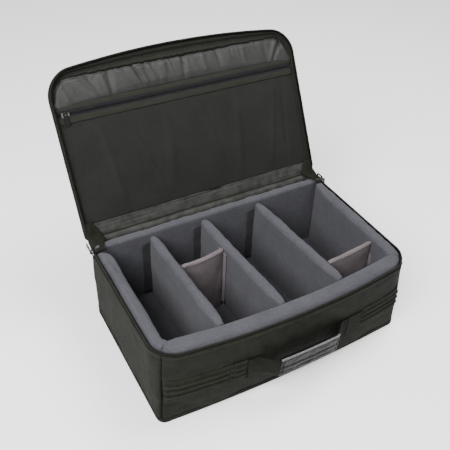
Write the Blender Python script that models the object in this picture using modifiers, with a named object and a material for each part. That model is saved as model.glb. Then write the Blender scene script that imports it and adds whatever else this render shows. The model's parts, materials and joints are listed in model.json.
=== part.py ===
"""Camera bag insert: a padded fabric box with a zipped lid, a lid pocket, five movable
dividers and a webbing handle.

Metres, +Z up, +X to the right and +Y to the back. The origin is the middle of the underside.
The lid stands open, and its empty lies on the hinge line.
"""
import math

import bmesh
import bpy
from mathutils import Vector

# Bag outline
BAG_WIDTH = 0.500
BAG_DEPTH = 0.300
RIM_HEIGHT = 0.160
FRONT_CORNER_RADIUS = 0.042
FOOT_CORNER_RADIUS = 0.014
BACK_CORNER_RADIUS = 0.018
RIM_BOW = 0.022
FLOOR_BOW = 0.0095
BOW_POWER = 3

# Clearances
SEAT_GAP = 0.0003
RUN_GAP = 0.0004
MITRE_GAP = 0.0007

# Walls, bottom and padding
PANEL_THICKNESS = 0.005
BOTTOM_THICKNESS = 0.012
BOTTOM_EDGE_RADIUS = 0.004
FLOOR_PAD_THICKNESS = 0.006
SIDE_PAD_THICKNESS = 0.019
FRONT_PAD_THICKNESS = 0.028
BACK_PAD_THICKNESS = 0.020
PAD_RISE = 0.012
PAD_SHOULDER = 0.0095

# Rim zip
ZIP_INSET_SHARE = 0.4
TAPE_THICKNESS = 0.001
TAPE_RISE = 0.0029
COIL_THICKNESS = 0.0024
COIL_RISE = 0.0029
CHAIN_GAP = 0.0012

# Zip sliders
PLATE_THICKNESS = 0.0014
SLIDER_LENGTH = 0.014
SLIDER_NOSE_SHARE = 0.6
SLIDER_WIDTH = 0.0090
BRIDGE_THICKNESS = 0.0006
BRIDGE_LENGTH = 0.004
EAR_LIP = 0.0007
EAR_THICKNESS = 0.0010
EAR_LENGTH = 0.0036
PIN_RADIUS = 0.0007
PULL_THICKNESS = 0.0014
PULL_WIDTH = 0.0085
PULL_LENGTH = 0.024
PULL_EYE_RADIUS = 0.0020
PULL_NECK_SHARE = 0.8
PULL_SLOT_LENGTH = 0.008
PULL_SLOT_WIDTH = 0.003
SLIDER_END_ROOM = 0.008

# Hinge
HINGE_BEAD_RADIUS = 0.0015
HINGE_STRIP_THICKNESS = 0.0015
OPEN_ANGLE = math.radians(118)

# Lid
LID_LENGTH = 0.300
LID_BOW = 0.018
LID_CORNER_RADIUS = 0.046
LID_BACK_RADIUS = 0.006
LID_DEPTH = 0.021
LID_WALL = 0.004
LID_COVER = 0.0025
LID_EDGE_RADIUS = 0.006
LID_BACK_SETBACK = 0.0015
LID_BACK_THICKNESS = 0.004
LINING_THICKNESS = 0.0008
BINDING_RADIUS = 0.0017

# Lid pocket
POCKET_CHAIN_DISTANCE = 0.228
POCKET_TAPE_WIDTH = 0.013
POCKET_TAPE_THICKNESS = 0.0008
POCKET_COIL_WIDTH = 0.0020
POCKET_COIL_THICKNESS = 0.0022
MESH_THICKNESS = 0.0007
FLAP_END = 0.030
FLAP_THICKNESS = 0.003
PULL_OVER_PAD = 0.0012
POCKET_SLIDER_ROOM = 0.013
POST_RADIUS = 0.0011

# Corner gussets
GUSSET_SIZE = 0.016
GUSSET_THICKNESS = 0.0025
GUSSET_ROUNDING = 0.0006

# Dividers
DIVIDER_THICKNESS = 0.018
DIVIDER_TOP_DROP = 0.008
DIVIDER_ROUNDING = 0.006
DIVIDER_PLACE_SHARES = (-0.262, -0.042, 0.200)
DIVIDER_SLOPE_SHARES = (0.035, 0.065, 0.075)
DIVIDER_FRONT_ROOM = 0.0032
TAB_THICKNESS = 0.0015
TAB_OVERHANG = 0.014
TAB_LIFT = 0.008
TAB_DROP = 0.014
CROSS_THICKNESS = 0.009
CROSS_ROUNDING = 0.004
CROSS_TOP_DROP = 0.012
CROSS_TAB_LENGTH = 0.026
CROSS_BACK_PLACE = 0.032
CROSS_BACK_SKEW = 0.009
CROSS_BACK_BOW = 0.006
CROSS_FRONT_PLACE = -0.076
CROSS_FRONT_SKEW = 0.011
CROSS_FRONT_BOW = 0.001

# Front band, handle and its anchors
BAND_BOTTOM = 0.054
BAND_WIDTH = 0.050
BAND_THICKNESS = 0.0016
BAND_SEAT_GAP = 0.0007
RIDGE_HEIGHT = 0.0016
RIDGE_COUNT = 3
RIDGE_CREST_SHARE = 0.36
RIDGE_FOOT_SHARE = 0.72
HANDLE_MIDDLE = 0.004
HANDLE_HALF_SPAN = 0.102
ANCHOR_LENGTH = 0.030
ANCHOR_THICKNESS = 0.0034
STRAP_THICKNESS = 0.002
STRAP_SEAT = 0.0012
HANDLE_STANDOFF = 0.020
HANDLE_FLAT_SHARE = 0.12
HANDLE_RISE_SHARE = 0.33
GRIP_LENGTH = 0.118
GRIP_SHIFT = 0.004
GRIP_THICKNESS = 0.009
GRIP_OVERHANG = 0.002
GRIP_ROUNDING = 0.003

# Levels worked out from the sizes above
HALF_WIDTH = BAG_WIDTH / 2
HALF_DEPTH = BAG_DEPTH / 2
ZIP_INSET = PANEL_THICKNESS * ZIP_INSET_SHARE
COIL_LOW = RIM_HEIGHT + TAPE_RISE + 2 * SEAT_GAP
ZIP_LEVEL = COIL_LOW + COIL_RISE + CHAIN_GAP / 2
PANEL_FOOT = BOTTOM_THICKNESS + SEAT_GAP
PAD_FOOT = PANEL_FOOT + FLOOR_PAD_THICKNESS + SEAT_GAP
PAD_TOP = RIM_HEIGHT + PAD_RISE
SLIDER_REACH = COIL_THICKNESS / 2 + RUN_GAP + PLATE_THICKNESS
PAD_INSET = max(PANEL_THICKNESS + SEAT_GAP, ZIP_INSET + SLIDER_REACH + 2 * RUN_GAP)
BACK_FACE = HALF_DEPTH - PAD_INSET - BACK_PAD_THICKNESS
FRONT_FACE = PAD_INSET + FRONT_PAD_THICKNESS - HALF_DEPTH
SIDE_FACE = HALF_WIDTH - PAD_INSET - SIDE_PAD_THICKNESS
DIVIDER_TOP = PAD_TOP - DIVIDER_TOP_DROP
CROSS_TOP = PAD_TOP - CROSS_TOP_DROP
BAND_TOP = BAND_BOTTOM + BAND_WIDTH
PIN_RISE = PULL_EYE_RADIUS + RUN_GAP
EAR_HEIGHT = PIN_RISE + PIN_RADIUS + EAR_LIP
PULL_EYE_WIDTH = PULL_WIDTH - 2 * (EAR_THICKNESS + 2 * RUN_GAP)
LEVEL_SHARES = (0.06, 0.14, 0.28, 0.45, 0.62, 0.80)

# Levels in the lid, measured from the zip's plane towards the lid's cover
PULL_LEVEL = PAD_TOP - ZIP_LEVEL + PULL_OVER_PAD
POCKET_PLATE_LEVEL = PULL_LEVEL + PULL_THICKNESS + SEAT_GAP
POCKET_COIL_LEVEL = POCKET_PLATE_LEVEL + PLATE_THICKNESS + RUN_GAP
POCKET_MIDDLE_LEVEL = POCKET_COIL_LEVEL + POCKET_COIL_THICKNESS / 2
LINING_LEVEL = POCKET_COIL_LEVEL + POCKET_COIL_THICKNESS + 2 * RUN_GAP + PLATE_THICKNESS
FOAM_LEVEL = LINING_LEVEL + LINING_THICKNESS + SEAT_GAP
COVER_LEVEL = LID_DEPTH - LID_COVER
LID_TAPE_LEVEL = CHAIN_GAP / 2 + COIL_RISE + SEAT_GAP
LID_WALL_LEVEL = LID_TAPE_LEVEL + TAPE_RISE + SEAT_GAP
BINDING_INSET = LID_WALL + SEAT_GAP + BINDING_RADIUS
FLAP_START = LID_BACK_THICKNESS + SEAT_GAP
POCKET_HALF_WIDTH = HALF_WIDTH - BINDING_INSET - BINDING_RADIUS - SEAT_GAP

# Numbers of steps along the curved edges
ARC_STEPS = 6
BACK_ARC_STEPS = 4
FRONT_STEPS = 16
SIDE_STEPS = 4
ROUND_STEPS = 4
COIL_SIDES = 8
PIN_SIDES = 12
POST_SIDES = 16
EYE_SIDES = 20
TAB_STEPS = 3
ROUNDING_STEPS = 2
SHARP_ANGLE = math.radians(35)


def clear_scene():
    """Removes whatever the file holds."""
    for thing in list(bpy.data.objects):
        bpy.data.objects.remove(thing, do_unlink=True)


def new_collection(name):
    """A collection linked to the scene."""
    group = bpy.data.collections.new(name)
    bpy.context.scene.collection.children.link(group)
    return group


def new_material(name, colour, roughness, metallic=0.0):
    """A plain Principled material."""
    made = bpy.data.materials.new(name)
    made.use_nodes = True
    shader = made.node_tree.nodes["Principled BSDF"]
    shader.inputs["Base Color"].default_value = (*colour, 1.0)
    shader.inputs["Roughness"].default_value = roughness
    shader.inputs["Metallic"].default_value = metallic
    made.diffuse_color = (*colour, 1.0)
    return made


def new_object(name, mesh, material, parent=None):
    """An object in the bag's collection, shaded smooth but for its sharp edges."""
    made = bpy.data.objects.new(name, mesh)
    PARTS.objects.link(made)
    made.data.materials.append(material)
    mesh.shade_smooth()
    mesh.set_sharp_from_angle(angle=SHARP_ANGLE)
    if parent:
        made.parent = parent
    return made


def new_empty(name, place, turn=(0.0, 0.0, 0.0), parent=None):
    """An empty that carries moving pieces on their axis."""
    made = bpy.data.objects.new(name, None)
    PARTS.objects.link(made)
    made.location = place
    made.rotation_euler = turn
    if parent:
        made.parent = parent
    return made


def loft_mesh(name, rings):
    """A closed mesh through rings with equal numbers of points, capped at both ends."""
    bm = bmesh.new()
    rows = [[bm.verts.new(point) for point in ring] for ring in rings]
    count = len(rows[0])
    for low, high in zip(rows, rows[1:]):
        for i in range(count):
            j = (i + 1) % count
            bm.faces.new((low[i], low[j], high[j], high[i]))
    bm.faces.new(list(reversed(rows[0])))
    bm.faces.new(rows[-1])
    return finish_mesh(name, bm)


def sleeve_mesh(name, outer_rings, inner_rings):
    """A closed mesh of a sleeve: outer rings, inner rings and the two ends between them."""
    bm = bmesh.new()
    outer = [[bm.verts.new(point) for point in ring] for ring in outer_rings]
    inner = [[bm.verts.new(point) for point in ring] for ring in inner_rings]
    count = len(outer[0])
    for i in range(count):
        j = (i + 1) % count
        for low, high in zip(outer, outer[1:]):
            bm.faces.new((low[i], low[j], high[j], high[i]))
        for low, high in zip(inner, inner[1:]):
            bm.faces.new((low[j], low[i], high[i], high[j]))
        bm.faces.new((outer[0][j], outer[0][i], inner[0][i], inner[0][j]))
        bm.faces.new((outer[-1][i], outer[-1][j], inner[-1][j], inner[-1][i]))
    return finish_mesh(name, bm)


def finish_mesh(name, bm):
    """Turns the faces outwards and writes the mesh."""
    bmesh.ops.recalc_face_normals(bm, faces=bm.faces)
    mesh = bpy.data.meshes.new(name)
    bm.to_mesh(mesh)
    bm.free()
    return mesh


def box_mesh(name, low, high):
    """A box between two corners."""
    bm = bmesh.new()
    bmesh.ops.create_cube(bm, size=1.0)
    low = Vector(low)
    size = Vector(high) - low
    for vert in bm.verts:
        share = vert.co + Vector((0.5, 0.5, 0.5))
        vert.co = low + Vector(a * b for a, b in zip(share, size))
    return finish_mesh(name, bm)


def rod_mesh(name, low, high, radius, sides):
    """A round rod between two points."""
    low = Vector(low)
    high = Vector(high)
    bm = bmesh.new()
    bmesh.ops.create_cone(bm, cap_ends=True, segments=sides, radius1=radius, radius2=radius,
                          depth=(high - low).length)
    turn = (high - low).to_track_quat("Z", "Y")
    for vert in bm.verts:
        vert.co = turn @ vert.co + (low + high) / 2
    return finish_mesh(name, bm)


def bevel(thing, width):
    """Rounds every edge of an object."""
    made = thing.modifiers.new("rounding", "BEVEL")
    made.width = width
    made.segments = ROUNDING_STEPS
    made.limit_method = "ANGLE"


def boolean(thing, other, operation):
    """Joins a solid to another or cuts it, and hides the one that was used."""
    made = thing.modifiers.new(operation.lower(), "BOOLEAN")
    made.operation = operation
    made.object = other
    made.solver = "EXACT"


def tool_object(name, mesh, parent=None):
    """A hidden solid that a Boolean uses."""
    made = bpy.data.objects.new(name, mesh)
    TOOLS.objects.link(made)
    made.hide_render = True
    made.display_type = "WIRE"
    if parent:
        made.parent = parent
    return made


def corner_growth(across, along):
    """How much further out a front corner lies at the floor than at the rim, as a factor on a
    point's distances from the middle of the rim's corner arc."""
    reach = math.hypot(across, along)
    larger = max(across, along)
    smaller = min(across, along)
    inner = FRONT_CORNER_RADIUS - FOOT_CORNER_RADIUS
    if smaller * FRONT_CORNER_RADIUS <= larger * inner:
        return reach / larger
    total = inner * (across + along)
    root = math.sqrt(total * total - reach * reach * (2 * inner * inner - FOOT_CORNER_RADIUS ** 2))
    return (total + root) / (reach * FRONT_CORNER_RADIUS)


def belly(x, y, z):
    """Moves a point of the straight-sided bag to where the front wall bellies out, and to where
    the front corners grow squarer towards the floor."""
    height = min(max(z / RIM_HEIGHT, 0.0), 1.0)
    bow = RIM_BOW - (RIM_BOW - FLOOR_BOW) * (1.0 - height) ** BOW_POWER
    across = 1.0 - (x / HALF_WIDTH) ** 2
    reach = min(max(-y / (HALF_DEPTH - FRONT_CORNER_RADIUS), 0.0), 1.0)
    corner_x = abs(x) - HALF_WIDTH + FRONT_CORNER_RADIUS
    corner_y = -y - HALF_DEPTH + FRONT_CORNER_RADIUS
    if corner_x > 0.0 and corner_y > 0.0:
        grow = (corner_growth(corner_x, corner_y) - 1.0) * (1.0 - height)
        x += math.copysign(corner_x * grow, x)
        y -= corner_y * grow
    return Vector((x, y - bow * across * reach * reach, z))


def lid_belly(x, y, z):
    """Moves a point of the straight-sided lid, drawn shut, to its bowed front edge."""
    across = 1.0 - (x / HALF_WIDTH) ** 2
    reach = min(max(-y / (LID_LENGTH - LID_CORNER_RADIUS), 0.0), 1.0)
    return Vector((x, y - LID_BOW * across * reach * reach, z))


def arc(centre_x, centre_y, radius, start, stop, steps):
    """Stations round a corner: x, y and the direction that points into the bag."""
    made = []
    for i in range(steps + 1):
        angle = math.radians(start + (stop - start) * i / steps)
        out_x = math.cos(angle)
        out_y = math.sin(angle)
        made.append((centre_x + radius * out_x, centre_y + radius * out_y, -out_x, -out_y))
    return made


def spread(start, stop, steps):
    """Evenly spaced values from start to stop."""
    return [start + (stop - start) * i / steps for i in range(steps + 1)]


def line(start, stop, inward, steps):
    """Stations along a straight wall."""
    across = spread(start[0], stop[0], steps)
    along = spread(start[1], stop[1], steps)
    return [(x, y, *inward) for x, y in zip(across, along)]


def join_stations(*stretches):
    """Joins stretches of a wall, leaving out the stations that two of them share."""
    made = list(stretches[0])
    for stretch in stretches[1:]:
        made.extend(stretch[1:])
    return made


def trim(stations, gap):
    """Draws both ends of a wall back by half a gap, so that two walls never touch."""
    made = list(stations)
    for end, beside in ((0, 1), (-1, -2)):
        x, y, in_x, in_y = made[end]
        run = Vector((made[beside][0] - x, made[beside][1] - y)).normalized() * gap / 2
        made[end] = (x + run.x, y + run.y, in_x, in_y)
    return made


def left_wall(front_radius, back_radius, y_front, y_back):
    """Stations of the left wall, from the back corner's middle to the front corner's."""
    back = arc(back_radius - HALF_WIDTH, y_back - back_radius, back_radius, 135, 180,
               BACK_ARC_STEPS // 2)
    side = line((-HALF_WIDTH, y_back - back_radius), (-HALF_WIDTH, y_front + front_radius),
                (1.0, 0.0), SIDE_STEPS)
    front = arc(front_radius - HALF_WIDTH, y_front + front_radius, front_radius, 180, 225,
                ARC_STEPS // 2)
    return join_stations(back, side, front)


def front_wall(front_radius, y_front):
    """Stations of the front wall, from the left corner's middle to the right corner's."""
    edge = HALF_WIDTH - front_radius
    left = arc(-edge, y_front + front_radius, front_radius, 225, 270, ARC_STEPS // 2)
    middle = line((-edge, y_front), (edge, y_front), (0.0, 1.0), FRONT_STEPS)
    right = arc(edge, y_front + front_radius, front_radius, 270, 315, ARC_STEPS // 2)
    return join_stations(left, middle, right)


def back_wall(back_radius, y_back):
    """Stations of the back wall, from the right corner's middle to the left corner's."""
    edge = HALF_WIDTH - back_radius
    right = arc(edge, y_back - back_radius, back_radius, 45, 90, BACK_ARC_STEPS // 2)
    middle = line((edge, y_back), (-edge, y_back), (0.0, -1.0), FRONT_STEPS // 2)
    left = arc(-edge, y_back - back_radius, back_radius, 90, 135, BACK_ARC_STEPS // 2)
    return join_stations(right, middle, left)


def mirrored(stations):
    """The same stretch on the other side of the bag."""
    return [(-x, y, -in_x, in_y) for x, y, in_x, in_y in reversed(stations)]


def rim_path(front_radius, y_front, y_back):
    """Stations round the three sides that the zip follows."""
    side = line((-HALF_WIDTH, y_back), (-HALF_WIDTH, y_front + front_radius), (1.0, 0.0), SIDE_STEPS)
    corner = arc(front_radius - HALF_WIDTH, y_front + front_radius, front_radius, 180, 225,
                 ARC_STEPS // 2)
    left = join_stations(side, corner)
    return join_stations(left, front_wall(front_radius, y_front), mirrored(left))


def sweep_mesh(name, stations, section, bend):
    """Sweeps a section of (inset, height) points along stations. Where a section depends on
    the place, section is a function of the station's share of the way."""
    rings = []
    last = len(stations) - 1
    for i, (x, y, in_x, in_y) in enumerate(stations):
        points = section(i / last) if callable(section) else section
        rings.append([bend(x + in_x * inset, y + in_y * inset, z) for inset, z in points])
    return loft_mesh(name, rings)


def outline(inset, z, y_front, y_back, front_radius, back_radius, bend):
    """A closed ring round the whole plan, drawn in by inset."""
    edge = HALF_WIDTH - front_radius
    back_edge = HALF_WIDTH - back_radius
    stations = join_stations(
        arc(-edge, y_front + front_radius, front_radius, 180, 270, ARC_STEPS),
        line((-edge, y_front), (edge, y_front), (0.0, 1.0), FRONT_STEPS),
        arc(edge, y_front + front_radius, front_radius, 270, 360, ARC_STEPS),
        line((HALF_WIDTH, y_front + front_radius), (HALF_WIDTH, y_back - back_radius),
             (-1.0, 0.0), SIDE_STEPS),
        arc(back_edge, y_back - back_radius, back_radius, 0, 90, BACK_ARC_STEPS),
        line((back_edge, y_back), (-back_edge, y_back), (0.0, -1.0), 1),
        arc(-back_edge, y_back - back_radius, back_radius, 90, 180, BACK_ARC_STEPS),
        line((-HALF_WIDTH, y_back - back_radius), (-HALF_WIDTH, y_front + front_radius),
             (1.0, 0.0), SIDE_STEPS))
    made = []
    for x, y, in_x, in_y in stations[:-1]:
        made.append(bend(x + in_x * inset, y + in_y * inset, z))
    return made


def base_outline(inset, z):
    """The base's plan at one height."""
    return outline(inset, z, -HALF_DEPTH, HALF_DEPTH, FRONT_CORNER_RADIUS, BACK_CORNER_RADIUS, belly)


def lid_outline(inset, z):
    """The lid's plan at one level, drawn shut, with the hinge line at y zero."""
    return outline(inset, z, -LID_LENGTH, -LID_BACK_SETBACK, LID_CORNER_RADIUS, LID_BACK_RADIUS,
                   lid_belly)


def rounded_corner(inset, level, radius, start, steps=ROUND_STEPS):
    """Points of a quarter circle in a section, from the angle start, counting up."""
    made = []
    for i in range(steps + 1):
        angle = math.radians(start + 90 * i / steps)
        made.append((inset + radius * math.cos(angle), level + radius * math.sin(angle)))
    return made


def wall_levels(low, high):
    """Heights at which a tall wall has points, so that every wall bellies alike."""
    between = [RIM_HEIGHT * share for share in LEVEL_SHARES]
    return [low] + [z for z in between if low < z < high] + [high]


def panel_section():
    """The outer fabric panel: outer face up, inner face down."""
    levels = wall_levels(PANEL_FOOT, RIM_HEIGHT)
    outside = [(0.0, z) for z in levels]
    inside = [(PANEL_THICKNESS, z) for z in reversed(levels)]
    return outside + inside


def pad_section(outer, inner):
    """A padded wall with a rolled top, between two insets."""
    shoulder = min(PAD_SHOULDER, (inner - outer) / 2 - SEAT_GAP)
    levels = wall_levels(PAD_FOOT, PAD_TOP - shoulder)[:-1]
    outside = [(outer, z) for z in levels]
    inside = [(inner, z) for z in reversed(levels)]
    top_left = list(reversed(rounded_corner(outer + shoulder, PAD_TOP - shoulder, shoulder, 90)))
    top_right = list(reversed(rounded_corner(inner - shoulder, PAD_TOP - shoulder, shoulder, 0)))
    return outside + top_left + top_right + inside


def make_base_panels():
    """The bottom and the four outer walls, sewn together at the corners' middles."""
    rings = [base_outline(0.0, BOTTOM_THICKNESS)]
    for inset, z in rounded_corner(BOTTOM_EDGE_RADIUS, BOTTOM_EDGE_RADIUS, BOTTOM_EDGE_RADIUS, 180):
        rings.append(base_outline(inset, z))
    new_object("base_bottom", loft_mesh("base_bottom", rings), SHELL_FABRIC)
    left = trim(left_wall(FRONT_CORNER_RADIUS, BACK_CORNER_RADIUS, -HALF_DEPTH, HALF_DEPTH), SEAT_GAP)
    walls = {
        "base_left_panel": left,
        "base_right_panel": mirrored(left),
        "base_front_panel": trim(front_wall(FRONT_CORNER_RADIUS, -HALF_DEPTH), SEAT_GAP),
        "base_back_panel": trim(back_wall(BACK_CORNER_RADIUS, HALF_DEPTH), SEAT_GAP),
    }
    for name, stations in walls.items():
        mesh = sweep_mesh(name, stations, panel_section(), belly)
        new_object(name, mesh, SHELL_FABRIC)


def make_liners():
    """The padded floor and the four padded walls inside the panels."""
    foot = PANEL_FOOT
    top = PANEL_FOOT + FLOOR_PAD_THICKNESS
    inset = PANEL_THICKNESS + SEAT_GAP
    floor = loft_mesh("liner_floor", [base_outline(inset, foot), base_outline(inset, top)])
    new_object("liner_floor", floor, PADDING)
    corner_pad = (SIDE_PAD_THICKNESS + FRONT_PAD_THICKNESS) / 2
    corner_share = (ARC_STEPS // 2) / (SIDE_STEPS + ARC_STEPS // 2)

    def side_section(share):
        bend_share = max(0.0, (share - 1.0 + corner_share) / corner_share)
        pad = SIDE_PAD_THICKNESS + (corner_pad - SIDE_PAD_THICKNESS) * bend_share
        return pad_section(PAD_INSET, PAD_INSET + pad)

    def front_section(share):
        ends = (ARC_STEPS // 2) / (FRONT_STEPS + ARC_STEPS)
        bend_share = max(0.0, 1.0 - min(share, 1.0 - share) / ends)
        pad = FRONT_PAD_THICKNESS + (corner_pad - FRONT_PAD_THICKNESS) * bend_share
        return pad_section(PAD_INSET, PAD_INSET + pad)

    side_end = BACK_FACE
    side = line((-HALF_WIDTH, side_end), (-HALF_WIDTH, FRONT_CORNER_RADIUS - HALF_DEPTH),
                (1.0, 0.0), SIDE_STEPS)
    corner = arc(FRONT_CORNER_RADIUS - HALF_WIDTH, FRONT_CORNER_RADIUS - HALF_DEPTH,
                 FRONT_CORNER_RADIUS, 180, 225, ARC_STEPS // 2)
    left = trim(join_stations(side, corner), MITRE_GAP)
    new_object("liner_left", sweep_mesh("liner_left", left, side_section, belly), PADDING)
    right_mesh = sweep_mesh("liner_right", mirrored(left), lambda share: side_section(1.0 - share),
                            belly)
    new_object("liner_right", right_mesh, PADDING)
    front = trim(front_wall(FRONT_CORNER_RADIUS, -HALF_DEPTH), MITRE_GAP)
    new_object("liner_front", sweep_mesh("liner_front", front, front_section, belly), PADDING)
    make_back_liner()


def make_back_liner():
    """The back liner, whose outer corners follow the back wall's small corners."""
    wide = HALF_WIDTH - PAD_INSET
    narrow = HALF_WIDTH - BACK_CORNER_RADIUS
    inner = PAD_INSET + BACK_PAD_THICKNESS
    steps = FRONT_STEPS // 2
    stations = [(wide, HALF_DEPTH, 0.0, -1.0)]
    stations += line((narrow, HALF_DEPTH), (-narrow, HALF_DEPTH), (0.0, -1.0), steps)
    stations += [(-wide, HALF_DEPTH, 0.0, -1.0)]
    rings = []
    for i, (x, y, in_x, in_y) in enumerate(stations):
        outer = BACK_CORNER_RADIUS if i in (0, steps + 2) else PAD_INSET
        rings.append([Vector((x, y + in_y * inset, z)) for inset, z in pad_section(outer, inner)])
    new_object("liner_back", loft_mesh("liner_back", rings), PADDING)


def tape_section(low, high):
    """A zip's tape, standing in the middle of the wall."""
    half = TAPE_THICKNESS / 2
    return [(ZIP_INSET - half, low), (ZIP_INSET + half, low), (ZIP_INSET + half, high),
            (ZIP_INSET - half, high)]


def coil_section(low, high):
    """A zip's coil, as a bead of an oval section."""
    middle = (low + high) / 2
    made = []
    for i in range(COIL_SIDES):
        angle = 2 * math.pi * (i + 0.5) / COIL_SIDES
        inset = ZIP_INSET + COIL_THICKNESS / 2 * math.cos(angle)
        made.append((inset, middle + (high - low) / 2 * math.sin(angle)))
    return made


def make_rim_zip():
    """The base's half of the main zip: its tape and its coil."""
    path = rim_path(FRONT_CORNER_RADIUS, -HALF_DEPTH, HALF_DEPTH - BACK_CORNER_RADIUS)
    tape = tape_section(RIM_HEIGHT + SEAT_GAP, RIM_HEIGHT + SEAT_GAP + TAPE_RISE)
    new_object("rim_zip_tape", sweep_mesh("rim_zip_tape", path, tape, belly), TAPE)
    coil = coil_section(COIL_LOW, COIL_LOW + COIL_RISE)
    new_object("rim_zip_coil", sweep_mesh("rim_zip_coil", path, coil, belly), COIL)


def make_hinge():
    """The fabric fold on the back wall, with a bead on the hinge line."""
    half = HINGE_STRIP_THICKNESS / 2
    section = [(half, -ZIP_LEVEL + RIM_HEIGHT + SEAT_GAP)]
    start = math.asin(half / HINGE_BEAD_RADIUS)
    steps = 2 * COIL_SIDES
    for i in range(steps + 1):
        angle = start - math.pi / 2 + (2 * math.pi - 2 * start) * i / steps
        section.append((HINGE_BEAD_RADIUS * math.cos(angle), HINGE_BEAD_RADIUS * math.sin(angle)))
    section.append((-half, section[0][1]))
    reach = HALF_WIDTH - BACK_CORNER_RADIUS
    rings = [[Vector((x, HALF_DEPTH + y, ZIP_LEVEL + z)) for y, z in section] for x in (-reach, reach)]
    new_object("hinge_fold", loft_mesh("hinge_fold", rings), SHELL_FABRIC)


def make_gussets():
    """The folded fabric at the back corners that stops the lid."""
    for side, name in ((-1, "gusset_left"), (1, "gusset_right")):
        near = side * (HALF_WIDTH - PAD_INSET)
        far = near - side * GUSSET_SIZE
        back = HALF_DEPTH - PAD_INSET
        low = (min(near, far), back - GUSSET_SIZE, PAD_TOP + SEAT_GAP)
        high = (max(near, far), back, PAD_TOP + SEAT_GAP + GUSSET_THICKNESS)
        bevel(new_object(name, box_mesh(name, low, high), SHELL_FABRIC), GUSSET_ROUNDING)


def band_section():
    """The ribbed webbing on the front wall: three ridges along a flat band."""
    face = -BAND_SEAT_GAP - BAND_THICKNESS
    pitch = BAND_WIDTH / (RIDGE_COUNT + 1)
    crest = pitch * RIDGE_CREST_SHARE / 2
    foot = pitch * RIDGE_FOOT_SHARE / 2
    made = [(-BAND_SEAT_GAP, BAND_BOTTOM), (face, BAND_BOTTOM)]
    for i in range(RIDGE_COUNT):
        middle = BAND_BOTTOM + pitch * (i + 1)
        made.append((face, middle - foot))
        made.append((face - RIDGE_HEIGHT, middle - crest))
        made.append((face - RIDGE_HEIGHT, middle + crest))
        made.append((face, middle + foot))
    made += [(face, BAND_TOP), (-BAND_SEAT_GAP, BAND_TOP)]
    for z in reversed(wall_levels(BAND_BOTTOM, BAND_TOP)[1:-1]):
        made.append((-BAND_SEAT_GAP, z))
    return made


def wall_stretch(start, stop, steps):
    """Stations of the front wall between two places across it."""
    return line((start, -HALF_DEPTH), (stop, -HALF_DEPTH), (0.0, 1.0), steps)


def make_front_bands():
    """The ribbed bands between the corners' seams and the handle's anchors."""
    edge = HALF_WIDTH - FRONT_CORNER_RADIUS
    left_end = HANDLE_MIDDLE - HANDLE_HALF_SPAN - ANCHOR_LENGTH - SEAT_GAP
    right_start = HANDLE_MIDDLE + HANDLE_HALF_SPAN + ANCHOR_LENGTH + SEAT_GAP
    corner = arc(-edge, FRONT_CORNER_RADIUS - HALF_DEPTH, FRONT_CORNER_RADIUS, 225, 270,
                 ARC_STEPS // 2)
    steps = FRONT_STEPS // 4
    left = join_stations(corner, wall_stretch(-edge, left_end, steps))
    right = join_stations(wall_stretch(right_start, edge, steps), mirrored(corner))
    for name, stations in (("front_band_left", left), ("front_band_right", right)):
        mesh = sweep_mesh(name, stations, band_section(), belly)
        new_object(name, mesh, WEBBING)


def make_handle_anchors():
    """The box-stitched ends of the handle's webbing, doubled over on the wall."""
    levels = wall_levels(BAND_BOTTOM, BAND_TOP)
    section = [(-SEAT_GAP - ANCHOR_THICKNESS, z) for z in levels]
    section += [(-SEAT_GAP, z) for z in reversed(levels)]
    for side, name in ((-1, "handle_anchor_left"), (1, "handle_anchor_right")):
        near = HANDLE_MIDDLE + side * (HANDLE_HALF_SPAN + SEAT_GAP)
        far = HANDLE_MIDDLE + side * (HANDLE_HALF_SPAN + ANCHOR_LENGTH)
        stations = wall_stretch(min(near, far), max(near, far), 2)
        new_object(name, sweep_mesh(name, stations, section, belly), WEBBING)


def strap_place(x, z):
    """The middle of the handle's strap: it leaves the wall, runs clear of it and comes back."""
    away = abs(x - HANDLE_MIDDLE) / HANDLE_HALF_SPAN
    share = min(max((1.0 - away - HANDLE_FLAT_SHARE) / HANDLE_RISE_SHARE, 0.0), 1.0)
    lift = share * share * (3.0 - 2.0 * share)
    standoff = STRAP_SEAT + STRAP_THICKNESS / 2 + HANDLE_STANDOFF * lift
    return belly(x, -HALF_DEPTH, z).y - standoff


def strap_rings(places, half_thickness, overhang, rounding, axis_place):
    """Rings of the strap or the grip at places across the bag, in the handle's frame."""
    corners = [(-1, -1), (1, -1), (1, 1), (-1, 1)]
    steps = ROUND_STEPS // 2
    rings = []
    for x in places:
        run = strap_place(x + SEAT_GAP, BAND_BOTTOM) - strap_place(x - SEAT_GAP, BAND_BOTTOM)
        normal = Vector((-run, 2 * SEAT_GAP, 0.0)).normalized()
        ring = []
        for order, (across, up) in enumerate(corners):
            edge = BAND_BOTTOM - overhang if up < 0 else BAND_TOP + overhang
            for i in range(steps + 1):
                angle = math.radians(180 + 90 * order + 90 * i / steps)
                out = across * (half_thickness - rounding) + rounding * math.cos(angle)
                z = edge - up * rounding + rounding * math.sin(angle)
                ring.append(Vector((x, strap_place(x, z), z)) + normal * out - axis_place)
        rings.append(ring)
    return rings


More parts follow.
